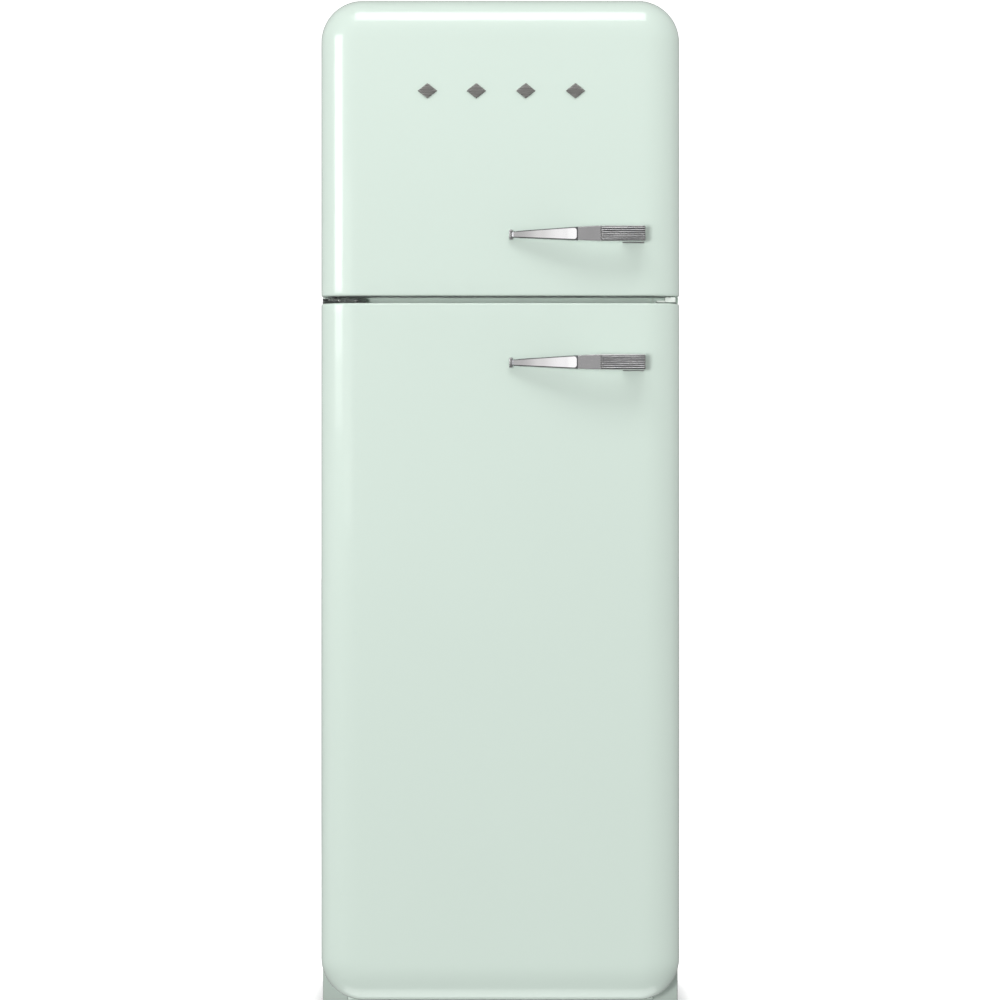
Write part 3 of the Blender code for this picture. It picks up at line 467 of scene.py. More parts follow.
# ------------------------------------------------------------------ door skins
FILLET_W, FILLET_D = 0.062, 0.046
SOFT = 0.030  # how far the fillet eases into the face
SKIN_T = 0.0008
ROLL = 0.0032
mid_z, half_z = (TOP + BOTTOM) / 2, (TOP - BOTTOM) / 2


def profile_point(t):
    """The door's edge section: t from 0 on the side to 1 on the face, as (inset, y)."""
    phi = t * math.pi / 2
    power = 2 / 2.12
    c, s = max(math.cos(phi), 0.0) ** power, max(math.sin(phi), 0.0) ** power
    return FILLET_W * (1 - c), Y_FACE + 0.0010 + FILLET_D * (1 - s)


def crown(x, z):
    """The face bulges by one millimetre between its edges."""
    u = min(abs(x) / (HALF_W - 0.012), 1.0)
    v = min(abs(z - mid_z) / (half_z - 0.012), 1.0)
    return 0.0010 * (1 - u ** 2) * (1 - v ** 6)


def cushion_surface():
    bm = bmesh.new()
    loops = []
    for y in (Y_DOOR_BACK, Y_DOOR_BACK - 0.012, Y_DOOR_BACK - 0.024):
        loops.append((0.0, y))
    steps = 26
    loops += [profile_point(k / steps) for k in range(steps + 1)]
    loops += [(d, Y_FACE + 0.0010) for d in (0.066, 0.074, 0.090, 0.115, 0.150, 0.190, 0.235, 0.275)]
    made = []
    for d, y in loops:
        flat = ring(HALF_W - d, half_z - d, CORNER_R - d, n=16, mx=14, mz=44)
        made.append([(x, y - crown(x, z + mid_z) * (1 if d > 0.03 else (d / 0.03) ** 2), z + mid_z) for x, z in flat])
    stack(bm, made, cap_end=True)
    return bm


def rolled_edge(bm, z_cut, down):
    """Folds the edge left by a level cut inwards, round a small radius, and adds its flange."""
    chain_edges = [e for e in bm.edges if e.is_boundary and all(abs(v.co.z - z_cut) < 1e-6 for v in e.verts)]
    links = {}
    for e in chain_edges:
        for v in e.verts:
            links.setdefault(v, []).append(e)
    start = [v for v, es in links.items() if len(es) == 1]
    start = min(start, key=lambda v: v.co.x)
    chain, seen = [start], set()
    while True:
        step = [e for e in links[chain[-1]] if e not in seen]
        if not step:
            break
        seen.add(step[0])
        chain.append(step[0].other_vert(chain[-1]))
    sign = -1 if down else 1
    tangents = []
    for i, v in enumerate(chain):
        a = chain[max(i - 1, 0)].co
        b = chain[min(i + 1, len(chain) - 1)].co
        t = (b - a)
        tangents.append(Vector((t.x, t.y, 0)).normalized())
    inward = [Vector((-t.y, t.x, 0)) for t in tangents]
    if inward[0].x < 0:  # the chain starts on the left side, so inwards is +X there
        inward = [-n for n in inward]
    rows = [chain]
    for k in range(1, 6):
        angle = math.pi / 2 * k / 5
        rows.append([bm.verts.new(v.co + n * ROLL * (1 - math.cos(angle)) + Vector((0, 0, sign * ROLL * math.sin(angle))))
                     for v, n in zip(chain, inward)])
    rows.append([bm.verts.new(v.co + n * 0.004) for v, n in zip(rows[-1], inward)])
    for a, b in zip(rows, rows[1:]):
        for i in range(len(a) - 1):
            bm.faces.new((a[i], a[i + 1], b[i + 1], b[i]))


def door_skin(name, node, body, lower, upper):
    bm = cushion_surface()
    for height, away in ((lower, -1), (upper, 1)):
        if height is not None:
            edge = height + ROLL * -away
            bmesh.ops.bisect_plane(bm, geom=bm.verts[:] + bm.edges[:] + bm.faces[:], dist=1e-7,
                                   plane_co=(0, 0, edge), plane_no=(0, 0, away), clear_outer=True)
            rolled_edge(bm, edge, down=away < 0)
    middle = ((lower or BOTTOM) + (upper or TOP)) / 2
    face_out(bm, (0, Y_DOOR_BACK, middle))
    obj = put(name, from_bm(bm), "mint_paint", body, [node])
    sheet = obj.modifiers.new("sheet", "SOLIDIFY")
    sheet.thickness = SKIN_T
    sheet.offset = -1.0
    return obj


door_skin("freezer_door_enamel", "freezer_door_skin", "freezer_door", Z_GAP_HIGH, None)
door_skin("fridge_door_enamel", "fridge_door_skin", "fridge_door", None, Z_GAP_LOW)


def end_cap(name, node, body, z_low, z_high):
    """The moulded strip that closes the door's end inside the fold of its skin."""
    inset = ROLL + 0.0046
    bm = bmesh.new()
    loops = []
    back = Y_DOOR_BACK - 0.0004
    for shrink, z in ((0.0006, z_low), (0.0, z_low + 0.0006), (0.0, z_high - 0.0006), (0.0006, z_high)):
        outline = []
        steps = 18
        for k in range(steps + 1):
            d, y = profile_point(k / steps)
            outline.append((-(HALF_W - d) , y))
        edge = [(-HALF_W, back)] + outline
        # offset the section inwards
        pts = []
        for i, (x, y) in enumerate(edge):
            a, b = edge[max(i - 1, 0)], edge[min(i + 1, len(edge) - 1)]
            t = Vector((b[0] - a[0], b[1] - a[1])).normalized()
            n = Vector((-t.y, t.x))
            if n.x < 0:
                n = -n
            if i == 0:
                n = Vector((1, 0))
            if i == len(edge) - 1:
                n = Vector((0, 1))
            pts.append((x + n.x * (inset + shrink), y + n.y * (inset + shrink)))
        full = pts + [(-x, y) for x, y in reversed(pts)]
        loops.append([(x, y, z) for x, y in full])
    stack(bm, loops, cap_start=True, cap_end=True)
    bmesh.ops.recalc_face_normals(bm, faces=bm.faces)
    return put(name, from_bm(bm), "white_satin", body, [node])


end_cap("freezer_door_end_strip", "freezer_door_end_cap", "freezer_door", Z_GAP_HIGH + 0.0004, Z_GAP_HIGH + 0.0030)
end_cap("fridge_door_end_strip", "fridge_door_end_cap", "fridge_door", Z_GAP_LOW - 0.0030, Z_GAP_LOW - 0.0004)


# ------------------------------------------------------------------ handles
def lever(name, node, body):
    """Chrome lever: thin tip on a foot, a tapered facet, a plain facet, then a ribbed grip over the post."""
    lo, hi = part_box(node)
    z_mid = (lo.z + hi.z) / 2
    x0, x1 = lo.x, hi.x
    tip = x0 + 0.0052
    ribs = 7
    pitch = 0.00345
    half_ribs = ribs * pitch / 2

    def lerp(table, x):
        for (xa, va), (xb, vb) in zip(table, table[1:]):
            if x <= xb:
                return va + (vb - va) * (x - xa) / (xb - xa)
        return table[-1][1]

    stand = [(tip, 0.0112), (0.050, 0.0208), (0.090, 0.0312), (0.129, 0.0405), (0.167, 0.0458), (0.2407, 0.0459)]
    thick = [(tip, 0.0050), (0.075, 0.0102), (0.129, 0.0140), (0.167, 0.0150), (0.2407, 0.0150)]
    tall = [(tip, 0.0108), (0.129, 0.0228), (0.150, 0.0252), (0.167, 0.0262), (0.2407, 0.0262)]
    groove = [(tip, 0.0), (0.1660, 0.0), (0.1700, 0.00165), (0.2407, 0.00165)]
    stations = [tip + (0.129 - tip) * i / 10 for i in range(10)]
    stations += [0.129, 0.1294, 0.138, 0.148, 0.158, 0.1655, 0.1660, 0.1673, 0.1687, 0.1700, 0.175, 0.19, 0.205, 0.222,
                 0.2385, 0.2400, x1]
    loops = []
    for i, x in enumerate(stations):
        h = lerp(tall, x) / 2
        out = lerp(stand, x)
        t = lerp(thick, x)
        g = lerp(groove, x)
        if x >= x1 - 0.0008:  # rounded far end
            out -= 0.0010 if x > x1 - 1e-5 else 0.0002
            h -= 0.0010 if x > x1 - 1e-5 else 0.0002
        if i == 0:
            out -= 0.0012
            h -= 0.0008
        chamfer = min(0.0024, h * 0.30)
        front = Y_FACE - out
        section = []
        edge = h - chamfer * 0.72
        # front face from bottom to top, with room for the grooves
        zs = [(-edge, 0.0)]
        for k in range(ribs):
            a = -half_ribs + k * pitch
            for u, depth in ((0.14, 1.0), (0.24, 0.04), (0.30, 0.0), (0.40, 0.03), (0.50, 0.11), (0.60, 0.25), (0.67, 0.75), (0.72, 1.0)):
                zs.append((a + u * pitch, depth))
        zs.append((edge, 0.0))
        scale = min(1.0, (edge - 0.0003) / half_ribs)
        for z, depth in zs:
            zz = z if abs(abs(z) - edge) < 1e-9 else z * scale
            section.append((front + depth * g, zz))
        section += [(front + chamfer * 0.30, h - chamfer * 0.30), (front + chamfer, h),
                    (front + t - 0.0012, h), (front + t, h - 0.0012),
                    (front + t, -h + 0.0012), (front + t - 0.0012, -h),
                    (front + chamfer, -h), (front + chamfer * 0.30, -h + chamfer * 0.30)]
        loops.append([(x, y, z_mid + z) for y, z in section])
    bm = bmesh.new()
    stack(bm, loops, cap_start=True, cap_end=True)
    bmesh.ops.recalc_face_normals(bm, faces=bm.faces)
    grip = put(name, from_bm(bm), "chrome", body, [node], smooth=24.0)
    grip.data.materials.append(M["chrome_dark"])
    grip.data.materials.append(M["chrome_satin"])
    # The grip's body under the tapered facet and the floors of the rib grooves take the dark plate: a painted dark
    # reflection round the facet and painted shade in the grooves.
    for face in grip.data.polygons:
        corners = [grip.data.vertices[i].co for i in face.vertices]
        painted_shade_groove_floor = face.center.x > 0.170 and abs(face.normal.y) > 0.98 and min(c.y for c in corners) > lo.y + 0.0013 \
            and max(c.y for c in corners) < lo.y + 0.006
        ribbed = face.center.x > 0.1665 and len(corners) == 4 and face.normal.y < -0.3 and abs(face.center.z - z_mid) < half_ribs
        face.material_index = 1 if (face.center.x < 0.1291 and len(corners) == 4) or painted_shade_groove_floor else (2 if ribbed else 0)

    # The tapered facet: a polished panel let into the front, round at its far end
    xa, xb, r = tip + 0.0022, 0.1268, 0.0046
    xs = [xa, xa + 0.0006, xa + 0.0016] + [xa + 0.004 + (xb - r - xa - 0.004) * k / 10 for k in range(11)]
    xs += [xb - r + r * math.sin(math.radians(a)) for a in range(12, 91, 13)]
    rows = []
    for x in xs:
        h = 0.0042 + (0.0098 - 0.0042) * (x - xa) / (xb - xa)
        if x < xa + 0.0017:
            h -= 0.0014 * (1 - (x - xa) / 0.0017) ** 2
        if x > xb - r:
            u = (x - (xb - r)) / r
            h -= r * (1 - math.sqrt(max(0.0, 1 - u * u)))
        front = Y_FACE - lerp(stand, x)
        section = [(front + 0.0010, -h), (front - 0.0004, -h), (front - 0.0008, -h + 0.0005), (front - 0.0008, h - 0.0005),
                   (front - 0.0004, h), (front + 0.0010, h)]
        rows.append([(x, y, z_mid + z) for y, z in section])
    bm = bmesh.new()
    stack(bm, rows, cap_start=True, cap_end=True)
    bmesh.ops.recalc_face_normals(bm, faces=bm.faces)
    # The facet's plate carries a painted reflection, dark at the thin end and white at the far end.
    put(name + "_facet", from_bm(bm), "chrome_bright", body, smooth=18.0)

    # Foot under the tip, and the post and its base behind the ribs
    foot = block((x0, Y_FACE - 0.0098, z_mid - 0.0085), (x0 + 0.0060, Y_FACE - 0.0002, z_mid + 0.0085), 0.0021, 3)
    post = block((0.2080, Y_FACE - 0.0325, z_mid - 0.0118), (0.2385, Y_FACE - 0.0002, z_mid + 0.0112), 0.0025, 3)
    base = block((0.2040, Y_FACE - 0.0050, z_mid - 0.0139), (0.2402, Y_FACE - 0.0002, z_mid + 0.0130), 0.0014, 3)
    put(name + "_posts", from_bm(merge(foot, post, base)), "chrome_satin", body, smooth=30.0)
    return grip


lever("freezer_door_lever", "freezer_door_handle", "freezer_door")
lever("fridge_door_lever", "fridge_door_handle", "fridge_door")

# ------------------------------------------------------------------ badge marks: plain faceted lozenges
for i in range(1, 5):
    node = f"badge_mark_{i}"
    lo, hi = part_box(node)
    cx, cz, hw, hh = (lo.x + hi.x) / 2, (lo.z + hi.z) / 2, (hi.x - lo.x) / 2, (hi.z - lo.z) / 2
    rows = []
    for k, y in ((1.0, hi.y), (1.0, lo.y + 0.0012), (0.93, lo.y + 0.0004), (0.86, lo.y + 0.0002), (0.30, lo.y)):
        base = [(hw, 0), (0, hh), (-hw, 0), (0, -hh)]
        soft = []
        for j, p in enumerate(base):
            q, s = base[j - 1], base[(j + 1) % 4]
            for t in (0.14, 0.07, 0.0):
                soft.append((p[0] + (q[0] - p[0]) * t * 0.5, p[1] + (q[1] - p[1]) * t * 0.5) if t else
                            (p[0] * 0.965, p[1] * 0.965))
            for t in (0.07, 0.14):
                soft.append((p[0] + (s[0] - p[0]) * t * 0.5, p[1] + (s[1] - p[1]) * t * 0.5))
        rows.append([(cx + x * k, y, cz + z * k) for x, z in soft])
    bm = bmesh.new()
    stack(bm, rows, cap_start=True, cap_end=True)
    bmesh.ops.recalc_face_normals(bm, faces=bm.faces)
    put(f"badge_lozenge_{i}", from_bm(bm), "badge", "freezer_door", [node], smooth=20.0)


# ------------------------------------------------------------------ helpers for sheets, tubs and cuts
def ring4(x0, x1, z0, z1, radii, n=8, mx=1, mz=1):
    """A rectangle with a radius for each corner: lower right, upper right, upper left, lower left."""
    limit = min(x1 - x0, z1 - z0) / 2 - 1e-6
    r = [max(min(v, limit), 1e-5) for v in radii]
    spots = ((x1 - r[0], z0 + r[0], -90, r[0]), (x1 - r[1], z1 - r[1], 0, r[1]),
             (x0 + r[2], z1 - r[2], 90, r[2]), (x0 + r[3], z0 + r[3], 180, r[3]))
    corners = [[(cx + rr * math.cos(math.radians(start + 90 * i / n)), cz + rr * math.sin(math.radians(start + 90 * i / n)))
                for i in range(n + 1)] for cx, cz, start, rr in spots]
    points = []
    for k, count in enumerate((mz, mx, mz, mx)):
        points += corners[k]
        a, b = corners[k][-1], corners[(k + 1) % 4][0]
        for i in range(1, count):
            points.append((a[0] + (b[0] - a[0]) * i / count, a[1] + (b[1] - a[1]) * i / count))
    return points


def strips(bm, rows):
    """Joins equal open rows of points into a surface."""
    made = [[bm.verts.new(p) for p in row] for row in rows]
    for a, b in zip(made, made[1:]):
        for i in range(len(a) - 1):
            bm.faces.new((a[i], a[i + 1], b[i + 1], b[i]))
    return made


def sheet_of(obj, thickness):
    """Gives an open surface its thickness, on the side that its faces look away from."""
    made = obj.modifiers.new("sheet", "SOLIDIFY")
    made.thickness = thickness
    made.offset = -1.0
    return obj


def carve(obj, *cutters):
    """Cuts closed shapes out of a piece and keeps the result as its mesh."""
    tools = []
    for bm in cutters:
        tool = bpy.data.objects.new("cutter", from_bm(bm))
        bpy.context.scene.collection.objects.link(tool)
        cut = obj.modifiers.new("cut", "BOOLEAN")
        cut.operation, cut.object, cut.solver = "DIFFERENCE", tool, "EXACT"
        tools.append(tool)
    bpy.context.view_layer.update()
    made = bpy.data.meshes.new_from_object(obj.evaluated_get(bpy.context.evaluated_depsgraph_get()))
    obj.modifiers.clear()
    obj.data = made
    for tool in tools:
        bpy.data.objects.remove(tool, do_unlink=True)
    return obj


def quarter(radius, steps=5, outwards=True):
    """Offsets round a quarter turn, from (radius, 0) to (0, radius)."""
    return [(radius * (1 - math.sin(math.pi / 2 * k / steps)), radius * (1 - math.cos(math.pi / 2 * k / steps)))
            for k in range(steps + 1)]


def tub(lo, hi, wall, draft, r, fillet=0.005, n=8, roll=0.0):
    """A thin-walled tub, open at the top: up the outside, over a round rim, down the inside."""
    lo, hi = Vector(lo), Vector(hi)
    height = hi.z - lo.z
    loops = []

    def loop(inset, z):
        return [(x, y, z) for x, y in ring4(lo.x + inset, hi.x - inset, lo.y + inset, hi.y - inset,
                                            (max(r - inset * 0.6, 0.003),) * 4, n)]

    def lean(z):
        return draft * (hi.z - z) / height

    for a, b in quarter(fillet, 4):
        z = lo.z + b
        loops.append(loop(lean(z) + a, z))
    loops.reverse()
    loops.sort(key=lambda row: row[0][2])
    top = hi.z - wall / 2
    for k in range(1, 5):
        z = lo.z + fillet + (top - lo.z - fillet) * k / 4
        loops.append(loop(lean(z) - (roll if k == 4 else 0.0), z))
    for k in range(1, 7):
        a = math.pi * k / 6
        loops.append(loop((wall + roll) / 2 * (1 - math.cos(a)) - roll, top + wall / 2 * math.sin(a)))
    inner = lo.z + wall
    for k in range(1, 4):
        z = top - (top - inner - fillet) * k / 3
        loops.append(loop(lean(z) + wall, z))
    for k in range(1, 5):
        a = math.pi / 2 * k / 4
        z = inner + fillet * (1 - math.sin(a))
        loops.append(loop(lean(z) + wall + fillet * (1 - math.cos(a)), z))
    bm = bmesh.new()
    stack(bm, loops, cap_start=True, cap_end=True)
    bmesh.ops.recalc_face_normals(bm, faces=bm.faces)
    return bm


def extrude_profile(profile, x0, x1, soft=0.0006):
    """A closed profile in YZ run along X, its two ends eased."""
    cy = sum(p[0] for p in profile) / len(profile)
    cz = sum(p[1] for p in profile) / len(profile)
    rows = []
    for x, s in ((x0, 1), (x0 + soft, 0), (x1 - soft, 0), (x1, 1)):
        row = []
        for i, (y, z) in enumerate(profile):
            if s:
                a, b = profile[i - 1], profile[(i + 1) % len(profile)]
                t = Vector((b[0] - a[0], b[1] - a[1]))
                t = t.normalized() if t.length > 1e-9 else Vector((1, 0))
                nrm = Vector((-t.y, t.x))
                if turning(profile) < 0:
                    nrm = -nrm
                y, z = y + nrm.x * soft * 0.7, z + nrm.y * soft * 0.7
            row.append((x, y, z))
        rows.append(row)
    bm = bmesh.new()
    stack(bm, rows, cap_start=True, cap_end=True)
    bmesh.ops.recalc_face_normals(bm, faces=bm.faces)
    return bm


def turning(profile):
    return sum(profile[i - 1][0] * profile[i][1] - profile[i][0] * profile[i - 1][1] for i in range(len(profile)))


def rounded_path(points, radius, steps=5):
    """A polyline with its inner corners rounded."""
    out = [tuple(points[0])]
    for a, b, c in zip(points, points[1:], points[2:]):
        a, b, c = Vector(a), Vector(b), Vector(c)
        u, v = (a - b), (c - b)
        cutoff = min(radius, u.length * 0.45, v.length * 0.45)
        p, q = b + u.normalized() * cutoff, b + v.normalized() * cutoff
        for k in range(steps + 1):
            t = k / steps
            out.append(tuple(p * (1 - t) ** 2 + b * 2 * t * (1 - t) + q * t ** 2))
    out.append(tuple(points[-1]))
    return out


def rounded_loop(points, radius, steps=4):
    """The same for a closed outline of 2D points."""
    out = []
    count = len(points)
    for i in range(count):
        a, b, c = Vector(points[i - 1]), Vector(points[i]), Vector(points[(i + 1) % count])
        u, v = (a - b), (c - b)
        cutoff = min(radius, u.length * 0.45, v.length * 0.45)
        p, q = b + u.normalized() * cutoff, b + v.normalized() * cutoff
        for k in range(steps + 1):
            t = k / steps
            out.append(tuple(p * (1 - t) ** 2 + b * 2 * t * (1 - t) + q * t ** 2))
    return out


# ------------------------------------------------------------------ places of the working parts
X_PIN, Y_PIN = -HALF_W + 0.022, Y_DOOR_BACK - 0.024
ARM_HALF, OPEN_DEG = 0.008, 110.0
CAV = 0.2555
FZ_TUB, FR_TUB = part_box("freezer_liner"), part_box("fridge_liner")
UP_ARM, LOW_ARM, MID_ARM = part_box("upper_hinge"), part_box("lower_hinge"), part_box("middle_hinge")
Z_UP = (1.6840, 1.6890)
Z_LOW = (0.0740, 0.0790)
Z_MID = (1.2124, 1.2209)


def arm_slot(z_low, z_high):
    """The space that a fixed hinge arm sweeps through a door that turns round it."""
    reach, side = 0.075, ARM_HALF + 0.0015
    turn = math.radians(OPEN_DEG)
    along = Vector((-math.sin(turn), math.cos(turn)))
    across = Vector((along.y, -along.x))
    far = [along * reach + across * s * side for s in (-1, 1)]
    tip = [Vector((side * math.cos(math.radians(a)), side * math.sin(math.radians(a)))) for a in range(-70, 1, 14)]
    points = [Vector((side, reach)), Vector((-side, reach))] + sorted(far, key=lambda p: -p.y) + tip
    return prism([(X_PIN + p.x, Y_PIN + p.y) for p in points], z_low - 0.0021, z_high + 0.0021, "XY")


carve(bpy.data.objects["freezer_door_enamel"], arm_slot(*Z_UP))
carve(bpy.data.objects["fridge_door_enamel"], arm_slot(*Z_LOW))

# ------------------------------------------------------------------ cabinet shell
FLANGE = 0.042


def shell_wrap():
    low, top, half = SHELL[0].z, SHELL[1].z, SHELL[1].x

    def arch(inset):
        r = CORNER_R - inset
        pts = [(-half + inset, low), (-half + inset, 0.4), (-half + inset, 0.9), (-half + inset, 1.3)]
        pts += [(-half + CORNER_R + r * math.cos(math.radians(180 - 90 * i / 16)),
                 top - CORNER_R + r * math.sin(math.radians(180 - 90 * i / 16))) for i in range(17)]
        pts += [(x, top - inset) for x in (-0.1, 0.1)]
        pts += [(half - CORNER_R + r * math.cos(math.radians(90 - 90 * i / 16)),
                 top - CORNER_R + r * math.sin(math.radians(90 - 90 * i / 16))) for i in range(17)]
        pts += [(half - inset, z) for z in (1.3, 0.9, 0.4, low)]
        return pts

    fold = 0.0034
    section = [(FLANGE, Y_CAB_FRONT + 0.004), (FLANGE, Y_CAB_FRONT + 0.0012), (FLANGE - 0.0010, Y_CAB_FRONT + 0.0002),
               (FLANGE - 0.002, Y_CAB_FRONT)]
    section += [(fold * (1 - math.sin(math.radians(a))), Y_CAB_FRONT + fold * (1 - math.cos(math.radians(a))))
                for a in range(0, 91, 15)]
    section += [(0.0, -0.1), (0.0, 0.1), (0.0, Y_CAB_BACK - 0.0030), (0.0003, Y_CAB_BACK - 0.0012), (0.0012, Y_CAB_BACK - 0.0004)]
    bm = bmesh.new()
    strips(bm, [[(x, y, z) for x, z in arch(inset)] for inset, y in section])
    face_out(bm, (0, 0.05, 0.85))
    return sheet_of(put("cabinet_wrap", from_bm(bm), "mint_paint", "cabinet", ["cabinet_shell"], smooth=40.0), 0.0008)


shell_wrap()

# Rails across the front of the cabinet
lo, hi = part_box("centre_rail")
rail = block((lo.x, lo.y, lo.z), (hi.x, hi.y, hi.z), 0.0003, 2)
for z in (lo.z + 0.013, hi.z - 0.013):
    merge(rail, block((lo.x + 0.012, lo.y - 0.0003, z - 0.0009), (hi.x - 0.012, lo.y + 0.0004, z + 0.0009), 0.0004, 2))
# The cross rail's enamel is lightened, a painted light in the shaded gap between the doors.
put("front_cross_rail", from_bm(rail), "rail_paint", "cabinet", ["centre_rail"])

lo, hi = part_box("plinth")
panel = block((lo.x, lo.y, lo.z), (hi.x, hi.y, hi.z), 0.0003, 2)
for k in range(3):
    z = lo.z + 0.010 + 0.011 * k
    merge(panel, block((lo.x + 0.030, lo.y - 0.0018, z), (hi.x - 0.030, lo.y + 0.0004, z + 0.0042), 0.0016, 3))
put("plinth_panel", from_bm(panel), "mint_paint", "cabinet", ["plinth"])


# ------------------------------------------------------------------ inner liners
def liner_piece(name, node, step=None):
    lo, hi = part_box(node)
    rim, front = 0.014, lo.y
    z0, z1 = lo.z + rim, hi.z - rim
    back = hi.y - 0.0020
    r = 0.014
    half = CAV
    loops = []

    def loop(grow, y, low=None, rr=r):
        a = z0 if low is None else low
        return [(x, y, z) for x, z in ring4(-half - grow, half + grow, a - (grow if low is None else 0), z1 + grow,
                                            (rr,) * 4, 7)]

    loops.append(loop(rim, front + 0.0004))
    loops.append(loop(rim, front, rr=r + 0.002))
    loops.append(loop(0.004, front, rr=r))
    for k in range(1, 6):
        a = math.pi / 2 * k / 5
        loops.append(loop(0.004 * (1 - math.sin(a)), front + 0.004 * (1 - math.cos(a))))
    fillet = 0.014
    if step is None:
        for y in (-0.1, 0.0, 0.12, back - fillet):
            loops.append(loop(0.0, y))
        for k in range(1, 7):
            a = math.pi / 2 * k / 6
            loops.append(loop(-fillet * (1 - math.cos(a)), back - fillet * (1 - math.sin(a))))
    else:
        y_step, z_step = step
        for y in (-0.1, 0.0, 0.06, y_step - fillet - 0.006):
            loops.append(loop(0.0, y))
        for k in range(1, 7):  # up out of the floor
            a = math.pi / 2 * k / 6
            loops.append(loop(0.0, y_step - 0.006 - fillet * (1 - math.sin(a)), z0 + fillet * (1 - math.cos(a))))
        loops.append(loop(0.0, y_step - 0.003, (z0 + z_step) / 2))
        nose = 0.010
        for k in range(0, 7):  # over the nose
            a = math.pi / 2 * k / 6
            loops.append(loop(0.0, y_step + nose * (1 - math.cos(a)), z_step - nose * (1 - math.sin(a))))
        for y in (0.20, back - fillet):
            loops.append(loop(0.0, y, z_step))
        for k in range(1, 7):
            a = math.pi / 2 * k / 6
            g = fillet * (1 - math.cos(a))
            loops.append([(x, back - fillet * (1 - math.sin(a)), z) for x, z in
                          ring4(-half + g, half - g, z_step + g, z1 - g, (r,) * 4, 7)])
    bm = bmesh.new()
    stack(bm, loops, cap_end=True)
    face_out(bm, (0, 0, (z0 + z1) / 2), outwards=False)
    return sheet_of(put(name, from_bm(bm), "white_plastic", "cabinet", [node], smooth=32.0), 0.0018)


liner_piece("freezer_tub", "freezer_liner")
liner_piece("fridge_tub", "fridge_liner", step=(0.140, 0.300))

SHELF_Z = {"shelf_upper": 0.985, "shelf_middle": 0.790, "shelf_lower": 0.455}
ledge_parts = bmesh.new()
for z, back in [(v, 0.262) for v in SHELF_Z.values()] + [(0.625, 0.262), (0.3005, 0.134), (1.450, 0.255)]:
    for side in (-1, 1):
        a, b = side * (CAV - 0.010), side * (CAV + 0.0012)
        merge(ledge_parts, block((min(a, b), -0.045, z - 0.008), (max(a, b), back, z), 0.0026, 3))
put("shelf_ledges", from_bm(ledge_parts), "white_plastic", "cabinet")

# Cold wall panels with pressed channels
for name, z0, z1, y in (("fridge_cold_panel", 0.500, 1.120, 0.2830), ("freezer_cold_panel", 1.285, 1.620, 0.2680)):
    bm = bmesh.new()
    rows = []
    for inset, yy in ((0.0, y + 0.0010), (0.0, y - 0.0024), (0.0012, y - 0.0036), (0.014, y - 0.0036), (0.0155, y - 0.0030),
                      (0.0170, y - 0.0024), (0.0185, y - 0.0030), (0.020, y - 0.0036)):
        rows.append([(x, yy, z) for x, z in ring4(-0.205 + inset, 0.205 - inset, z0 + inset, z1 - inset, (0.022 - inset * 0.7,) * 4, 8)])
    stack(bm, rows, cap_end=True)
    face_out(bm, (0, 0.5, (z0 + z1) / 2))
    for k in range(3):
        z = z0 + (z1 - z0) * (k + 1) / 4
        merge(bm, block((-0.150, y - 0.0044, z - 0.003), (0.150, y - 0.0030, z + 0.003), 0.0012, 2))
    put(name, from_bm(bm), "white_plastic", "cabinet")

# Drain channel under the cold panel
bm = block((-0.215, 0.2700, 0.472), (0.215, 0.2860, 0.478), 0.0022, 3)
merge(bm, block((-0.215, 0.2690, 0.474), (0.215, 0.2715, 0.486), 0.0010, 2))
put("drain_channel", from_bm(bm), "white_satin", "cabinet")


# ------------------------------------------------------------------ gaskets
def gasket(name, node, body):
    lo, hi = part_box(node)
    ya, yb = lo.y, hi.y
    deep = yb - ya
    section = [(1.2, 0.00), (0.3, 0.07), (0.2, 0.16), (0.9, 0.22), (2.6, 0.27), (2.7, 0.34), (1.0, 0.39), (0.2, 0.45),
               (0.2, 0.52), (1.0, 0.58), (2.2, 0.62), (1.1, 0.68), (0.5, 0.76), (0.6, 0.92), (1.4, 1.00)]
    loops = []
    full = [(d / 1000, ya + f * deep) for d, f in section] + [((14.5 - d) / 1000, ya + f * deep) for d, f in reversed(section)]
    for d, y in full:
        loops.append([(x, y, z) for x, z in ring4(lo.x + d, hi.x - d, lo.z + d, hi.z - d, (0.016 - d * 0.8,) * 4, 6)])
    bm = bmesh.new()
    stack(bm, loops, wrap=True)
    bmesh.ops.recalc_face_normals(bm, faces=bm.faces)
    return put(name, from_bm(bm), "gasket_grey", body, [node], smooth=50.0)


gasket("freezer_door_seal", "freezer_door_gasket", "freezer_door")
gasket("fridge_door_seal", "fridge_door_gasket", "fridge_door")


# ------------------------------------------------------------------ door inner liners
DYKE, DYKE_W, DYKE_TOP, POCKET = 0.243, 0.033, -0.190, -0.232


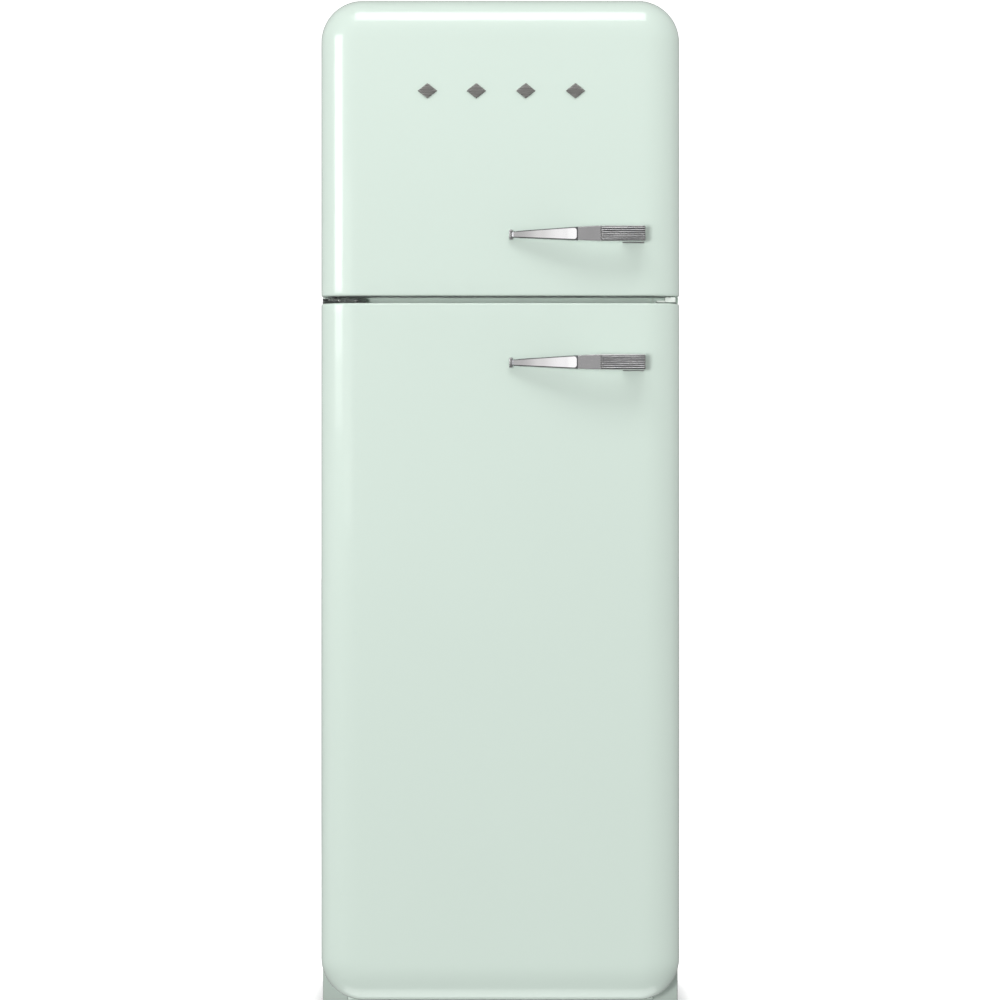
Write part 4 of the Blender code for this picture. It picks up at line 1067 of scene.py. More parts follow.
def door_liner(name, node, body, radii, ring_lo, ring_hi, trays, arm):
    lo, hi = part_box(node)
    back, face = lo.y, Y_DOOR_BACK
    loops = []

    def outline(inset, y):
        return [(x, y, z) for x, z in ring4(lo.x + inset, hi.x - inset, lo.z + inset, hi.z - inset,
                                            [max(v - inset, 0.0012) for v in radii], 12)]

    def dyke(off, y, r):
        return [(x, y, z) for x, z in ring4(-DYKE - off, DYKE + off, ring_lo - off, ring_hi + off, (r + off,) * 4, 12)]

    def pocket(off, y, r):
        w = DYKE - DYKE_W + off
        return [(x, y, z) for x, z in ring4(-w, w, ring_lo + DYKE_W - off, ring_hi - DYKE_W + off, (max(r + off, 0.002),) * 4, 12)]

    loops += [outline(0.0, back), outline(0.0, face - 0.0006), outline(0.0005, face), outline(0.006, face)]
    for a, b in quarter(0.006, 5):
        loops.append(dyke(a, face + b, 0.020))
    loops.append(dyke(-0.0006, DYKE_TOP - 0.007, 0.020))
    for k in range(1, 7):
        a = math.pi / 2 * k / 6
        loops.append(dyke(-0.0006 - 0.007 * (1 - math.cos(a)), DYKE_TOP - 0.007 + 0.007 * math.sin(a), 0.020))
    for k in range(0, 7):
        a = math.pi / 2 * k / 6
        loops.append(pocket(0.006 * (1 - math.sin(a)), DYKE_TOP - 0.006 * (1 - math.cos(a)), 0.013))
    loops.append(pocket(0.0, -0.215, 0.013))
    for k in range(0, 6):
        a = math.pi / 2 * k / 5
        loops.append(pocket(-0.0028 * (1 - math.cos(a)), POCKET + 0.0028 * (1 - math.sin(a)), 0.013))
    bm = bmesh.new()
    stack(bm, loops, cap_end=True)
    face_out(bm, (0, -0.4, (lo.z + hi.z) / 2))
    # a notch in the rim, where the hinge arm comes through
    edge, za, zb = X_PIN + ARM_HALF + 0.0030, arm[0] - 0.0030, arm[1] + 0.0030
    for co, no in (((edge, 0, 0), (1, 0, 0)), ((0, 0, za), (0, 0, 1)), ((0, 0, zb), (0, 0, 1))):
        bmesh.ops.bisect_plane(bm, geom=bm.verts[:] + bm.edges[:] + bm.faces[:], dist=1e-7, plane_co=co, plane_no=no)
    inside = [f for f in bm.faces if f.calc_center_median().x < edge and za < f.calc_center_median().z < zb]
    bmesh.ops.delete(bm, geom=inside, context="FACES")
    obj = put(name, from_bm(bm), "white_plastic", body, [node], smooth=32.0)
    sheet_of(obj, 0.0012)
    lugs = bmesh.new()
    for z in trays:
        for side in (-1, 1):
            a, b = side * 0.2000, side * 0.2108
            merge(lugs, block((min(a, b), POCKET - 0.0004, z - 0.0075), (max(a, b), -0.196, z - 0.0006), 0.0020, 3))
        merge(lugs, block((-0.060, POCKET - 0.0004, z - 0.0060), (0.060, POCKET + 0.0040, z - 0.0006), 0.0016, 2))
    put(name + "_lugs", from_bm(lugs), "white_plastic", body)
    return obj


def foam_core(name, node, body, z_low, z_high, ring_lo, ring_hi, arm, sockets):
    """Rigid foam between a door's skin and its inner liner, a little clear of both."""
    t = 0.0024
    upper = z_high > 1.5
    radii = (0.002, CORNER_R, CORNER_R, 0.002) if upper else (CORNER_R, 0.002, 0.002, CORNER_R)
    z0, z1 = (z_low + 0.0040, TOP) if upper else (BOTTOM, z_high - 0.0040)

    def outer(d, y):
        lo_d, hi_d = (0.0, d) if upper else (d, 0.0)
        return [(x, y, z) for x, z in ring4(-HALF_W + d, HALF_W - d, z0 + lo_d, z1 - hi_d, [max(v - d, 0.0015) for v in radii], 12)]

    def inner(half, lo, hi, y, r):
        return [(x, y, z) for x, z in ring4(-half, half, lo, hi, (max(r, 0.002),) * 4, 12)]

    loops = []
    for k in range(16, -1, -1):
        d, y = profile_point(k / 16)
        loops.append(outer(min(d + t, FILLET_W + 0.001), y + t))
    loops.append(outer(t, Y_DOOR_BACK - 0.0030))
    d0 = DYKE - t
    for dx, y in ((0.0, Y_DOOR_BACK - 0.0030), (0.0, DYKE_TOP - 0.0095), (0.003, DYKE_TOP - 0.0050), (0.0095, DYKE_TOP - t)):
        loops.append(inner(d0 - dx, ring_lo + t + dx, ring_hi - t - dx, y, 0.018 - dx))
    p0 = DYKE - DYKE_W + t
    for dx, y in ((0.0065, DYKE_TOP - t), (0.002, DYKE_TOP - 0.0045), (0.0, DYKE_TOP - 0.0090), (0.0, POCKET + 0.001), (-0.003, POCKET - t)):
        loops.append(inner(p0 + dx, ring_lo + DYKE_W - t - dx, ring_hi - DYKE_W + t + dx, y, 0.015 + dx))
    bm = bmesh.new()
    stack(bm, loops, cap_start=True, cap_end=True)
    bmesh.ops.recalc_face_normals(bm, faces=bm.faces)
    obj = put(name, from_bm(bm), "foam", body, [node], smooth=30.0)
    holes = [arm_slot(*arm)]
    for a, b in sockets:
        holes.append(lathe([(0, a), (0.0049, a), (0.0049, b), (0, b)], 20, Matrix.Translation((X_PIN, Y_PIN, 0))))
    return carve(obj, *holes)


foam_core("freezer_door_core", "freezer_door_foam", "freezer_door", Z_GAP_HIGH, TOP, 1.255, 1.651, Z_UP,
          [(Z_GAP_HIGH - 0.01, Z_GAP_HIGH + 0.026), (Z_UP[0] - 0.024, Z_UP[0] + 0.001)])
foam_core("fridge_door_core", "fridge_door_foam", "fridge_door", BOTTOM, Z_GAP_LOW, 0.124, 1.176, Z_LOW,
          [(Z_GAP_LOW - 0.026, Z_GAP_LOW + 0.01), (Z_LOW[1] - 0.001, Z_LOW[1] + 0.024)])

FREEZER_BINS = {"freezer_bin_lower": 1.300, "freezer_bin_upper": 1.470}
FRIDGE_BINS = {"bottle_bin": 0.170, "door_bin_lower": 0.500, "door_bin_upper": 0.760, "dairy_box": 0.955}
door_liner("freezer_door_inner", "freezer_door_liner", "freezer_door", (0.002, CORNER_R - 0.0011, CORNER_R - 0.0011, 0.002),
           1.255, 1.651, FREEZER_BINS.values(), Z_UP)
door_liner("fridge_door_inner", "fridge_door_liner", "fridge_door", (CORNER_R - 0.0011, 0.002, 0.002, CORNER_R - 0.0011),
           0.124, 1.176, FRIDGE_BINS.values(), Z_LOW)


# ------------------------------------------------------------------ door bins
def door_bin(node, body, bar=True):
    lo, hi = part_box(node)
    bm = tub(lo, hi, 0.0024, 0.004, 0.012, 0.006)
    # stiffening ribs on the outside of the front wall
    for k in range(-2, 3):
        x = k * (hi.x - lo.x) * 0.19
        merge(bm, block((x - 0.0008, hi.y - 0.0046, lo.z + 0.010), (x + 0.0008, hi.y - 0.0012, hi.z - 0.010), 0.0005, 1))
    put(node + "_tray", from_bm(bm), "clear_plastic", body, [node], smooth=40.0)
    if bar:
        top, h = hi.z, 0.013
        y = hi.y + 0.0004
        bm = bmesh.new()
        loops = []
        for inset, dy in ((0.0, -0.0002), (0.0, 0.0008), (0.0006, 0.0013), (0.0018, 0.0016)):
            loops.append([(x, y + dy, z) for x, z in ring4(lo.x + 0.014 + inset, hi.x - 0.014 - inset, top - h + inset, top - 0.0006 - inset,
                                                           (0.0050 - inset,) * 4, 6)])
        stack(bm, loops, cap_start=True, cap_end=True)
        bmesh.ops.recalc_face_normals(bm, faces=bm.faces)
        put(node + "_trim", from_bm(bm), "chrome", body)


for node in FREEZER_BINS:
    door_bin(node, "freezer_door")
for node in FRIDGE_BINS:
    door_bin(node, "fridge_door", bar=node != "dairy_box")

# Dairy box lid: bent sheet with a finger edge
lo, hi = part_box("dairy_lid")
nose = hi.y
t = 0.0028
outer = rounded_path([(lo.y + 0.0002, hi.z), (nose, hi.z), (nose, lo.z)], 0.010, 6)
inner = rounded_path([(lo.y + 0.0002, hi.z - t), (nose - t, hi.z - t), (nose - t, lo.z)], 0.0075, 6)
bm = extrude_profile(list(outer) + list(reversed(inner)), lo.x, hi.x, 0.0008)
for side in (-1, 1):
    x = side * (hi.x - 0.006)
    merge(bm, lathe([(0, -0.004), (0.0016, -0.004), (0.0019, -0.003), (0.0019, 0.003), (0.0016, 0.004), (0, 0.004)], 14,
                    Matrix.Translation((x, lo.y + 0.0022, hi.z - 0.0018)) @ Matrix.Rotation(math.pi / 2, 4, "Y")))
merge(bm, block((-0.040, nose - 0.0012, lo.z + 0.0004), (0.040, nose + 0.0022, lo.z + 0.0042), 0.0012, 2))
put("dairy_box_lid", from_bm(bm), "smoke_plastic", "dairy_lid", ["dairy_lid"], smooth=40.0)


# ------------------------------------------------------------------ shelves and their trims
def glass_plate(name, node, body):
    lo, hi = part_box(node)
    rows = []
    for inset, z in ((0.0010, lo.z), (0.0003, lo.z + 0.0003), (0.0, lo.z + 0.0010), (0.0, hi.z - 0.0010), (0.0003, hi.z - 0.0003), (0.0010, hi.z)):
        rows.append([(x, y, z) for x, y in ring4(lo.x + inset, hi.x - inset, lo.y + inset, hi.y - inset, (0.008 - inset,) * 4, 6)])
    bm = bmesh.new()
    stack(bm, rows, cap_start=True, cap_end=True)
    bmesh.ops.recalc_face_normals(bm, faces=bm.faces)
    obj = put(name, from_bm(bm), "glass", body, [node], smooth=30.0)
    obj.data.materials.append(M["glass_edge"])
    for face in obj.data.polygons:
        face.material_index = 1 if abs(face.normal.z) < 0.75 else 0
    return obj


def shelf_trim(name, node, body):
    lo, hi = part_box(node)
    glass_lo, glass_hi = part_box(node[:-5])
    c0, c1 = glass_lo.z - 0.0003, glass_hi.z + 0.0003
    inner = glass_lo.y - 0.0003
    profile = [(lo.y, lo.z), (hi.y, lo.z), (hi.y, c0), (inner, c0), (inner, c1), (hi.y, c1), (hi.y, hi.z), (lo.y, hi.z)]
    soft = []
    for i, p in enumerate(profile):
        radius = 0.0032 if i in (0, 7) else (0.0006 if i in (1, 2, 5, 6) else 0.0002)
        a, b, c = Vector(profile[i - 1]), Vector(p), Vector(profile[(i + 1) % 8])
        u, v = (a - b), (c - b)
        cutoff = min(radius, u.length * 0.45, v.length * 0.45)
        q, s = b + u.normalized() * cutoff, b + v.normalized() * cutoff
        for k in range(5):
            w = k / 4
            soft.append(tuple(q * (1 - w) ** 2 + b * 2 * w * (1 - w) + s * w ** 2))
    bm = extrude_profile(soft, lo.x, hi.x, 0.0009)
    # a raised bead along the front
    merge(bm, block((lo.x + 0.006, lo.y - 0.0006, (lo.z + hi.z) / 2 - 0.0012), (hi.x - 0.006, lo.y + 0.0008, (lo.z + hi.z) / 2 + 0.0012), 0.0006, 2))
    for side in (-1, 1):
        merge(bm, block((side * hi.x - 0.0022, lo.y - 0.0004, lo.z - 0.0004), (side * hi.x + 0.0022, hi.y - 0.001, hi.z + 0.0004), 0.0016, 3))
    put(name, from_bm(bm), "chrome", body, [node], smooth=30.0)


for node in SHELF_Z:
    glass_plate(node + "_glass", node, node)
    shelf_trim(node + "_front_trim", node + "_trim", node)
glass_plate("crisper_cover_glass", "crisper_cover", "crisper_cover")
glass_plate("freezer_shelf_glass", "freezer_shelf", "freezer_shelf")

# ------------------------------------------------------------------ bottle rack: welded chrome wire
lo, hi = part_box("bottle_rack")
rack_r = 0.0015
z_flat = hi.z - rack_r * 1.0
half, cradles = hi.x - 0.001, 5
pitch = (2 * (hi.x - 0.016)) / cradles
dip = (hi.z - lo.z) - 0.003


def rack_z(x):
    u = (x + hi.x - 0.016) / pitch
    if u <= 0 or u >= cradles:
        return 0.0
    return -dip * abs(math.sin(math.pi * (u % 1.0)))


rack = bmesh.new()
for y in (lo.y + 0.0045, (lo.y + hi.y) / 2, hi.y - 0.0045):
    line = []
    steps = 90
    for i in range(steps + 1):
        x = -half + 2 * half * i / steps
        line.append((x, y, z_flat - 0.0002 + rack_z(x)))
    merge(rack, pipe(line, 0.0017, 8))
for i in range(cradles):
    for f in (0.16, 0.36, 0.64, 0.84):
        x = -hi.x + 0.016 + pitch * (i + f)
        z = z_flat + rack_z(x) + 0.0016
        merge(rack, pipe(rounded_path([(x, lo.y + 0.0012, z - 0.0030), (x, lo.y + 0.0016, z), (x, hi.y - 0.0016, z), (x, hi.y - 0.0012, z - 0.0030)], 0.002, 3), 0.0012, 7))
for side in (-1, 1):
    merge(rack, pipe([(side * (half - 0.0035), lo.y + 0.001, z_flat + 0.0002), (side * (half - 0.0035), hi.y - 0.001, z_flat + 0.0002)], 0.0017, 8))
put("bottle_rack_wires", from_bm(rack), "chrome", "bottle_rack", ["bottle_rack"], smooth=50.0)

# ------------------------------------------------------------------ crisper drawer
lo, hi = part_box("crisper_drawer")
body_lo, body_hi = Vector((lo.x, -0.060, lo.z)), Vector(hi)
bm = tub(body_lo, body_hi, 0.0028, 0.008, 0.016, 0.009)
for k in range(-3, 4):
    x = k * 0.060
    merge(bm, block((x - 0.0010, body_lo.y + 0.0070, body_lo.z + 0.022), (x + 0.0010, body_lo.y + 0.0100, body_hi.z - 0.034), 0.0005, 1))
put("crisper_tub", from_bm(bm), "clear_plastic", "crisper_drawer", ["crisper_drawer"], smooth=40.0)
profile = rounded_loop([(lo.y, 0.2872), (-0.0585, 0.2872), (-0.0585, 0.2835), (-0.0645, 0.2825), (-0.0650, 0.2700), (lo.y, 0.2700)], 0.0016, 3)
bm = extrude_profile(profile, -0.085, 0.085, 0.0010)
put("crisper_pull", from_bm(bm), "chrome", "crisper_drawer", smooth=35.0)

# ------------------------------------------------------------------ control housing, knob, lamp
lo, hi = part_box("control_housing")
rows = []
for inset, z in ((0.0030, hi.z), (0.0, hi.z), (0.0, lo.z + 0.009), (0.0008, lo.z + 0.0045), (0.0030, lo.z + 0.0018), (0.0070, lo.z + 0.0003), (0.011, lo.z)):
    rows.append([(x, y, z) for x, y in ring4(lo.x + inset, hi.x - inset, lo.y + inset * 0.6, hi.y - inset, (0.010, 0.010, 0.010, 0.010), 7)])
bm = bmesh.new()
stack(bm, rows, cap_start=True, cap_end=True)
bmesh.ops.recalc_face_normals(bm, faces=bm.faces)
put("control_box", from_bm(bm), "white_plastic", "cabinet", ["control_housing"], smooth=30.0)

knob_lo, knob_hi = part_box("thermostat_knob")
KNOB = Vector((0.075, knob_hi.y, 1.1735))
to_front = Matrix.Translation(KNOB) @ Matrix.Rotation(math.pi / 2, 4, "X")
bm = lathe([(0, 0.0140), (0.0060, 0.0141), (0.0078, 0.0137), (0.0088, 0.0126), (0.0092, 0.0112), (0.0095, 0.0050),
            (0.0098, 0.0040), (0.0112, 0.0026), (0.0115, 0.0014), (0.0113, 0.0002), (0, 0.0002)], 60, to_front)
for v in bm.verts:
    along = (KNOB.y - v.co.y)
    spoke = Vector((v.co.x - KNOB.x, v.co.z - KNOB.z))
    if 0.0045 < along < 0.0118 and spoke.length > 0.008:
        angle = math.atan2(spoke.y, spoke.x)
        k = 1.0 - 0.035 * (0.5 + 0.5 * math.cos(20 * angle))
        v.co.x, v.co.z = KNOB.x + spoke.x * k, KNOB.z + spoke.y * k
merge(bm, block((KNOB.x - 0.0007, knob_lo.y, KNOB.z + 0.0014), (KNOB.x + 0.0007, knob_lo.y + 0.0024, KNOB.z + 0.0084), 0.0004, 2))
put("thermostat_dial", from_bm(bm), "chrome", "thermostat_knob", ["thermostat_knob"], smooth=30.0)

marks = bmesh.new()
for k in range(7):
    a = math.radians(90 - k * 45)
    c, s = math.cos(a), math.sin(a)
    bar = block((-0.0004, -0.0504, -0.0004), (0.0004, -0.0498, 0.0004), 0.0001, 1)
    bmesh.ops.translate(bar, vec=(KNOB.x + c * 0.0127, 0, KNOB.z + s * 0.0127 * (0.92 if abs(s) > 0.9 else 1.0)), verts=bar.verts)
    merge(marks, bar)
put("dial_marks", from_bm(marks), "black_plastic", "cabinet", smooth=0)

lo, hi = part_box("lamp_lens")
rows = []
for inset, z in ((0.0, hi.z), (0.0, lo.z + 0.0042), (0.0008, lo.z + 0.0022), (0.0026, lo.z + 0.0008), (0.0050, lo.z + 0.0004)):
    rows.append([(x, y, z) for x, y in ring4(lo.x + inset, hi.x - inset, lo.y + inset, hi.y - inset, (0.010,) * 4, 6)])
bm = bmesh.new()
stack(bm, rows, cap_start=True, cap_end=True)
bmesh.ops.recalc_face_normals(bm, faces=bm.faces)
for k in range(15):
    x = lo.x + 0.008 + k * (hi.x - lo.x - 0.016) / 14
    merge(bm, block((x - 0.0016, lo.y + 0.008, lo.z - 0.0002), (x + 0.0016, hi.y - 0.008, lo.z + 0.0016), 0.0007, 2))
put("lamp_diffuser", from_bm(bm), "lamp_lens", "cabinet", ["lamp_lens"], smooth=40.0)


# ------------------------------------------------------------------ hinges
def hinge_arm(name, node, z, flange_z, pin_z, head_up):
    back = Y_CAB_FRONT - 0.0003
    outline = [(X_PIN - ARM_HALF, back), (X_PIN - ARM_HALF, back - 0.012)]
    outline += [(X_PIN + ARM_HALF * math.cos(math.radians(a)), Y_PIN + ARM_HALF * math.sin(math.radians(a))) for a in range(180, 361, 15)]
    outline += [(X_PIN + ARM_HALF, back - 0.012), (X_PIN + ARM_HALF + 0.002, back - 0.006), (X_PIN + ARM_HALF + 0.002, back)]
    bm = prism(outline, z[0], z[1], "XY", 0.0007, 2)
    merge(bm, block((X_PIN - ARM_HALF + 0.0005, -0.2273, flange_z[0]), (-0.215, back, flange_z[1]), 0.0008, 2))
    # folded gusset between arm and flange
    zg = (z[1] - 0.0005, z[1] + 0.0045) if head_up else (z[0] - 0.0045, z[0] + 0.0005)
    merge(bm, block((X_PIN - 0.0015, back - 0.0090, min(zg)), (X_PIN + 0.0015, back, max(zg)), 0.0007, 2))
    # pin with its riveted head
    low, high = pin_z
    merge(bm, lathe([(0, low), (0.0030, low), (0.0038, low + 0.0010), (0.0040, low + 0.0020), (0.0040, high - 0.0020),
                     (0.0038, high - 0.0010), (0.0030, high), (0, high)], 20, Matrix.Translation((X_PIN, Y_PIN, 0))))
    head = z[1] if head_up else z[0] - 0.0018
    merge(bm, lathe([(0, head), (0.0060, head), (0.0062, head + 0.0009), (0.0050, head + 0.0018), (0, head + 0.0018)], 24,
                    Matrix.Translation((X_PIN, Y_PIN, 0))))
    # The lower arm takes the darker copy of the body enamel, a painted shade at the door's bottom corner.
    put(name, from_bm(bm), "hinge_steel" if head_up else "mint_shadow", "cabinet", [node], smooth=30.0)
    screws = bmesh.new()
    zm = (flange_z[0] + flange_z[1]) / 2
    for x in (-0.2480, -0.2260):
        merge(screws, screw_head((x, -0.2273, zm), (0, -1, 0), 0.0042, 0.0022))
    put(name + "_screws", from_bm(screws), "bright_zinc", "cabinet", smooth=30.0)


hinge_arm("upper_hinge_arm", "upper_hinge", Z_UP, (Z_UP[0] + 0.0002, Z_UP[0] + 0.0160), (Z_UP[0] - 0.0215, Z_UP[0] + 0.001), True)
hinge_arm("lower_hinge_arm", "lower_hinge", Z_LOW, (Z_LOW[1] - 0.0200, Z_LOW[1] - 0.0002), (Z_LOW[1] - 0.001, Z_LOW[1] + 0.0215), False)

# Middle hinge: a cast block with a rough face, on a plate that reaches the left edge, with a pin up and a pin down
back = Y_CAB_FRONT - 0.0003
front = Y_PIN - 0.0115
lower_plate = prism([(-0.2993, back), (-0.2993, back - 0.030), (-0.2955, front - 0.0002), (-0.2700, front), (-0.2640, back)],
                    Z_MID[0] + 0.0001, Z_MID[0] + 0.0036, "XY", 0.0007, 2)
upper_lug = prism([(-0.2993, back), (-0.2993, back - 0.026), (-0.2930, back - 0.034), (-0.2890, back - 0.034), (-0.2890, back)],
                  Z_MID[1] - 0.0034, Z_MID[1] - 0.0002, "XY", 0.0006, 2)
bm = merge(lower_plate, upper_lug)
merge(bm, lathe([(0, Z_MID[0] - 0.0215), (0.0030, Z_MID[0] - 0.0215), (0.0038, Z_MID[0] - 0.0205), (0.0040, Z_MID[0] - 0.0195),
                 (0.0040, Z_MID[1] + 0.0195), (0.0038, Z_MID[1] + 0.0205), (0.0030, Z_MID[1] + 0.0215), (0, Z_MID[1] + 0.0215)], 20,
                Matrix.Translation((X_PIN, Y_PIN, 0))))
put("middle_hinge_plate", from_bm(bm), "hinge_steel", "cabinet", ["middle_hinge"], smooth=30.0)

bm = bmesh.new()
rows = []
nx, nz = 66, 14
x0, x1, z0, z1 = -0.2885, -0.2262, Z_MID[0] + 0.0003, Z_MID[1] - 0.0003


def knobble(x, z):
    """The cast face's pits and ridges, from sums of sines so that they're the same each time."""
    a = math.sin(x * 2900 + 1.3 * math.sin(z * 1700)) * math.sin(z * 2300 + 1.7 * math.sin(x * 1300))
    b = math.sin(x * 1270 + z * 900 + 0.5) * math.sin(z * 1500 - x * 640)
    return 0.00075 * a + 0.00055 * b


loops = []
outline = [(x0, back), (x0, front + 0.0012)]
count_face = nx
face_pts = [(x0 + (x1 - 0.012 - x0) * i / nx, front) for i in range(nx + 1)]
side_pts = [(x1 - 0.012 + 0.012 * k / 8, front + 0.012 * (1 - math.cos(math.radians(90 * k / 8)))) for k in range(1, 9)]
full = outline + face_pts + side_pts + [(x1, back)]
for j in range(nz + 1):
    z = z0 + (z1 - z0) * j / nz
    edge = min(j, nz - j)
    pull = 0.0009 if edge == 0 else (0.0003 if edge == 1 else 0.0)
    row = []
    for i, (x, y) in enumerate(full):
        if 2 <= i < len(full) - 1:
            y = y + pull + (knobble(x, z) if edge > 0 else 0.0) + 0.0008
        row.append((x, y, z))
    rows.append(row)
stack(bm, rows, cap_start=True, cap_end=True)
bmesh.ops.recalc_face_normals(bm, faces=bm.faces)
put("middle_hinge_block", from_bm(bm), "cast_metal", "cabinet", smooth=60.0)

screws = bmesh.new()
for x in (-0.2700, -0.2420):
    merge(screws, screw_head((x, front + 0.0006, (z0 + z1) / 2), (0, -1, 0), 0.0026, 0.0016))
put("middle_hinge_screws", from_bm(screws), "bright_zinc", "cabinet", smooth=30.0)

# Blanking cover at the other end of the gap
lo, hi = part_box("hinge_blank_cover")
bm = block((lo.x + 0.0330, lo.y, lo.z), (hi.x + 0.0012, hi.y, hi.z), 0.0012, 3)
merge(bm, block((lo.x + 0.0190, lo.y + 0.0020, lo.z), (lo.x + 0.0345, hi.y, lo.z + 0.0034), 0.0010, 3))
put("blank_cover", from_bm(bm), "cover_white", "cabinet", ["hinge_blank_cover"], smooth=30.0)
# The cover's end piece takes the darker copy of the body enamel, a painted shade at the end of the gap between the
# doors.
bm = block((hi.x + 0.0018, lo.y + 0.0200, lo.z), (hi.x + 0.0070, hi.y, hi.z), 0.0010, 3)
put("blank_cover_end", from_bm(bm), "mint_shadow", "cabinet", smooth=30.0)

# ------------------------------------------------------------------ rear panel
lo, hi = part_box("rear_panel")


def rear_arch(inset):
    r = CORNER_R - 0.0012 - inset
    half, top, low = hi.x - inset, hi.z - inset, lo.z + inset
    cx, cz = hi.x - (CORNER_R - 0.0012), hi.z - (CORNER_R - 0.0012)
    pts = [(-half + 0.0, low), (0.0, low), (half, low), (half, 0.6), (half, 1.2)]
    pts += [(cx + r * math.cos(math.radians(90 * i / 12)), cz + r * math.sin(math.radians(90 * i / 12))) for i in range(13)]
    pts += [(0.0, top)]
    pts += [(-cx + r * math.cos(math.radians(90 + 90 * i / 12)), cz + r * math.sin(math.radians(90 + 90 * i / 12))) for i in range(13)]
    pts += [(-half, 1.2), (-half, 0.6)]
    return pts


rows = [[(x, y, z) for x, z in rear_arch(i)] for i, y in
        ((0.0004, lo.y), (0.0, lo.y + 0.0003), (0.0, hi.y - 0.0003), (0.0004, hi.y), (0.0120, hi.y), (0.0132, hi.y - 0.0003),
         (0.0144, hi.y - 0.0006), (0.0156, hi.y - 0.0007), (0.0168, hi.y - 0.0006), (0.0180, hi.y - 0.0003), (0.0192, hi.y))]
bm = bmesh.new()
stack(bm, rows, cap_start=True, cap_end=True)
bmesh.ops.recalc_face_normals(bm, faces=bm.faces)
for x in (-0.250, -0.235, 0.235, 0.250):  # pressed stiffening beads
    merge(bm, block((x - 0.0025, hi.y - 0.0007, 0.330), (x + 0.0025, hi.y + 0.0009, 1.600), 0.0015, 3))
for x in (-0.10, 0.0, 0.10):
    merge(bm, block((x - 0.0025, hi.y - 0.0007, 0.300), (x + 0.0025, hi.y + 0.0009, 1.640), 0.0015, 3))
put("rear_cover", from_bm(bm), "steel_grey", "cabinet", ["rear_panel"], smooth=30.0)

screws = bmesh.new()
spots = [(x, 0.2575) for x in (-0.27, -0.135, 0.0, 0.135, 0.27)] + [(s * 0.2925, z) for s in (-1, 1) for z in (0.45, 0.75, 1.05, 1.35, 1.60)]
spots += [(x, 1.7115) for x in (-0.16, 0.0, 0.16)]
for x, z in spots:
    merge(screws, screw_head((x, hi.y - 0.0001, z), (0, 1, 0), 0.0040, 0.0018))
put("rear_screws", from_bm(screws), "bright_zinc", "cabinet", smooth=30.0)

# ------------------------------------------------------------------ condenser: smooth tube, cross wires, rails, wall bumpers
RUN_HALF, RUN_PITCH, RUNS, COIL_Y = 0.205, 0.105, 13, 0.3506
line = []
for run in range(RUNS):
    z = 0.330 + run * RUN_PITCH
    ends = (-1, 1) if run % 2 == 0 else (1, -1)
    line += [(ends[0] * RUN_HALF * f, COIL_Y, z) for f in (1.0, 0.5, 0.0)] + [(ends[1] * RUN_HALF * f, COIL_Y, z) for f in (0.5, 1.0)]
    if run < RUNS - 1:
        line += [(ends[1] * (RUN_HALF + RUN_PITCH / 2 * math.sin(math.pi * k / 14)), COIL_Y,
                  z + RUN_PITCH / 2 * (1 - math.cos(math.pi * k / 14))) for k in range(1, 14)]
coil = pipe(line, 0.0025, 12)
put("condenser_tube", from_bm(coil), "black_paint", "cabinet", ["condenser_coil"], smooth=50.0)

wires = bmesh.new()
for k in range(38):
    x = -0.2035 + k * 0.011
    merge(wires, pipe([(x, COIL_Y + 0.0031, 0.318), (x, COIL_Y + 0.0031, 1.602)], 0.00075, 6))
    if min(abs(x - 0.185), abs(x + 0.185)) > 0.0105:
        merge(wires, pipe([(x + 0.0012, COIL_Y - 0.0031, 0.318), (x + 0.0012, COIL_Y - 0.0031, 1.602)], 0.00075, 6))
put("condenser_wires", from_bm(wires), "black_paint", "cabinet", smooth=50.0)

for tag in ("left", "right"):
    side = -1 if tag == "left" else 1
    node = f"condenser_rail_{tag}"
    lo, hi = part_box(node)
    x = side * 0.185
    bm = block((x - 0.008, lo.y, 0.300), (x + 0.008, 0.3477, 1.640), 0.0014, 3)
    merge(bm, block((x - 0.012, lo.y, 1.625), (x + 0.012, hi.y - 0.004, 1.665), 0.0025, 3))
    merge(bm, lathe([(0, 0.0), (0.0098, 0.0), (0.0098, 0.003), (0.0086, 0.0046), (0.0060, 0.0052), (0, 0.0052)], 28,
                    Matrix.Translation((x, hi.y - 0.0052, 1.645)) @ Matrix.Rotation(-math.pi / 2, 4, "X")))
    for run in range(RUNS):  # clips over the tube
        z = 0.330 + run * RUN_PITCH
        merge(bm, block((x - 0.0045, 0.3470, z - 0.0052), (x + 0.0045, COIL_Y + 0.0008, z - 0.0027), 0.0008, 2))
        merge(bm, block((x - 0.0045, 0.3470, z + 0.0027), (x + 0.0045, COIL_Y + 0.0008, z + 0.0052), 0.0008, 2))
    put(f"rail_{tag}", from_bm(bm), "black_plastic", "cabinet", [node], smooth=30.0)

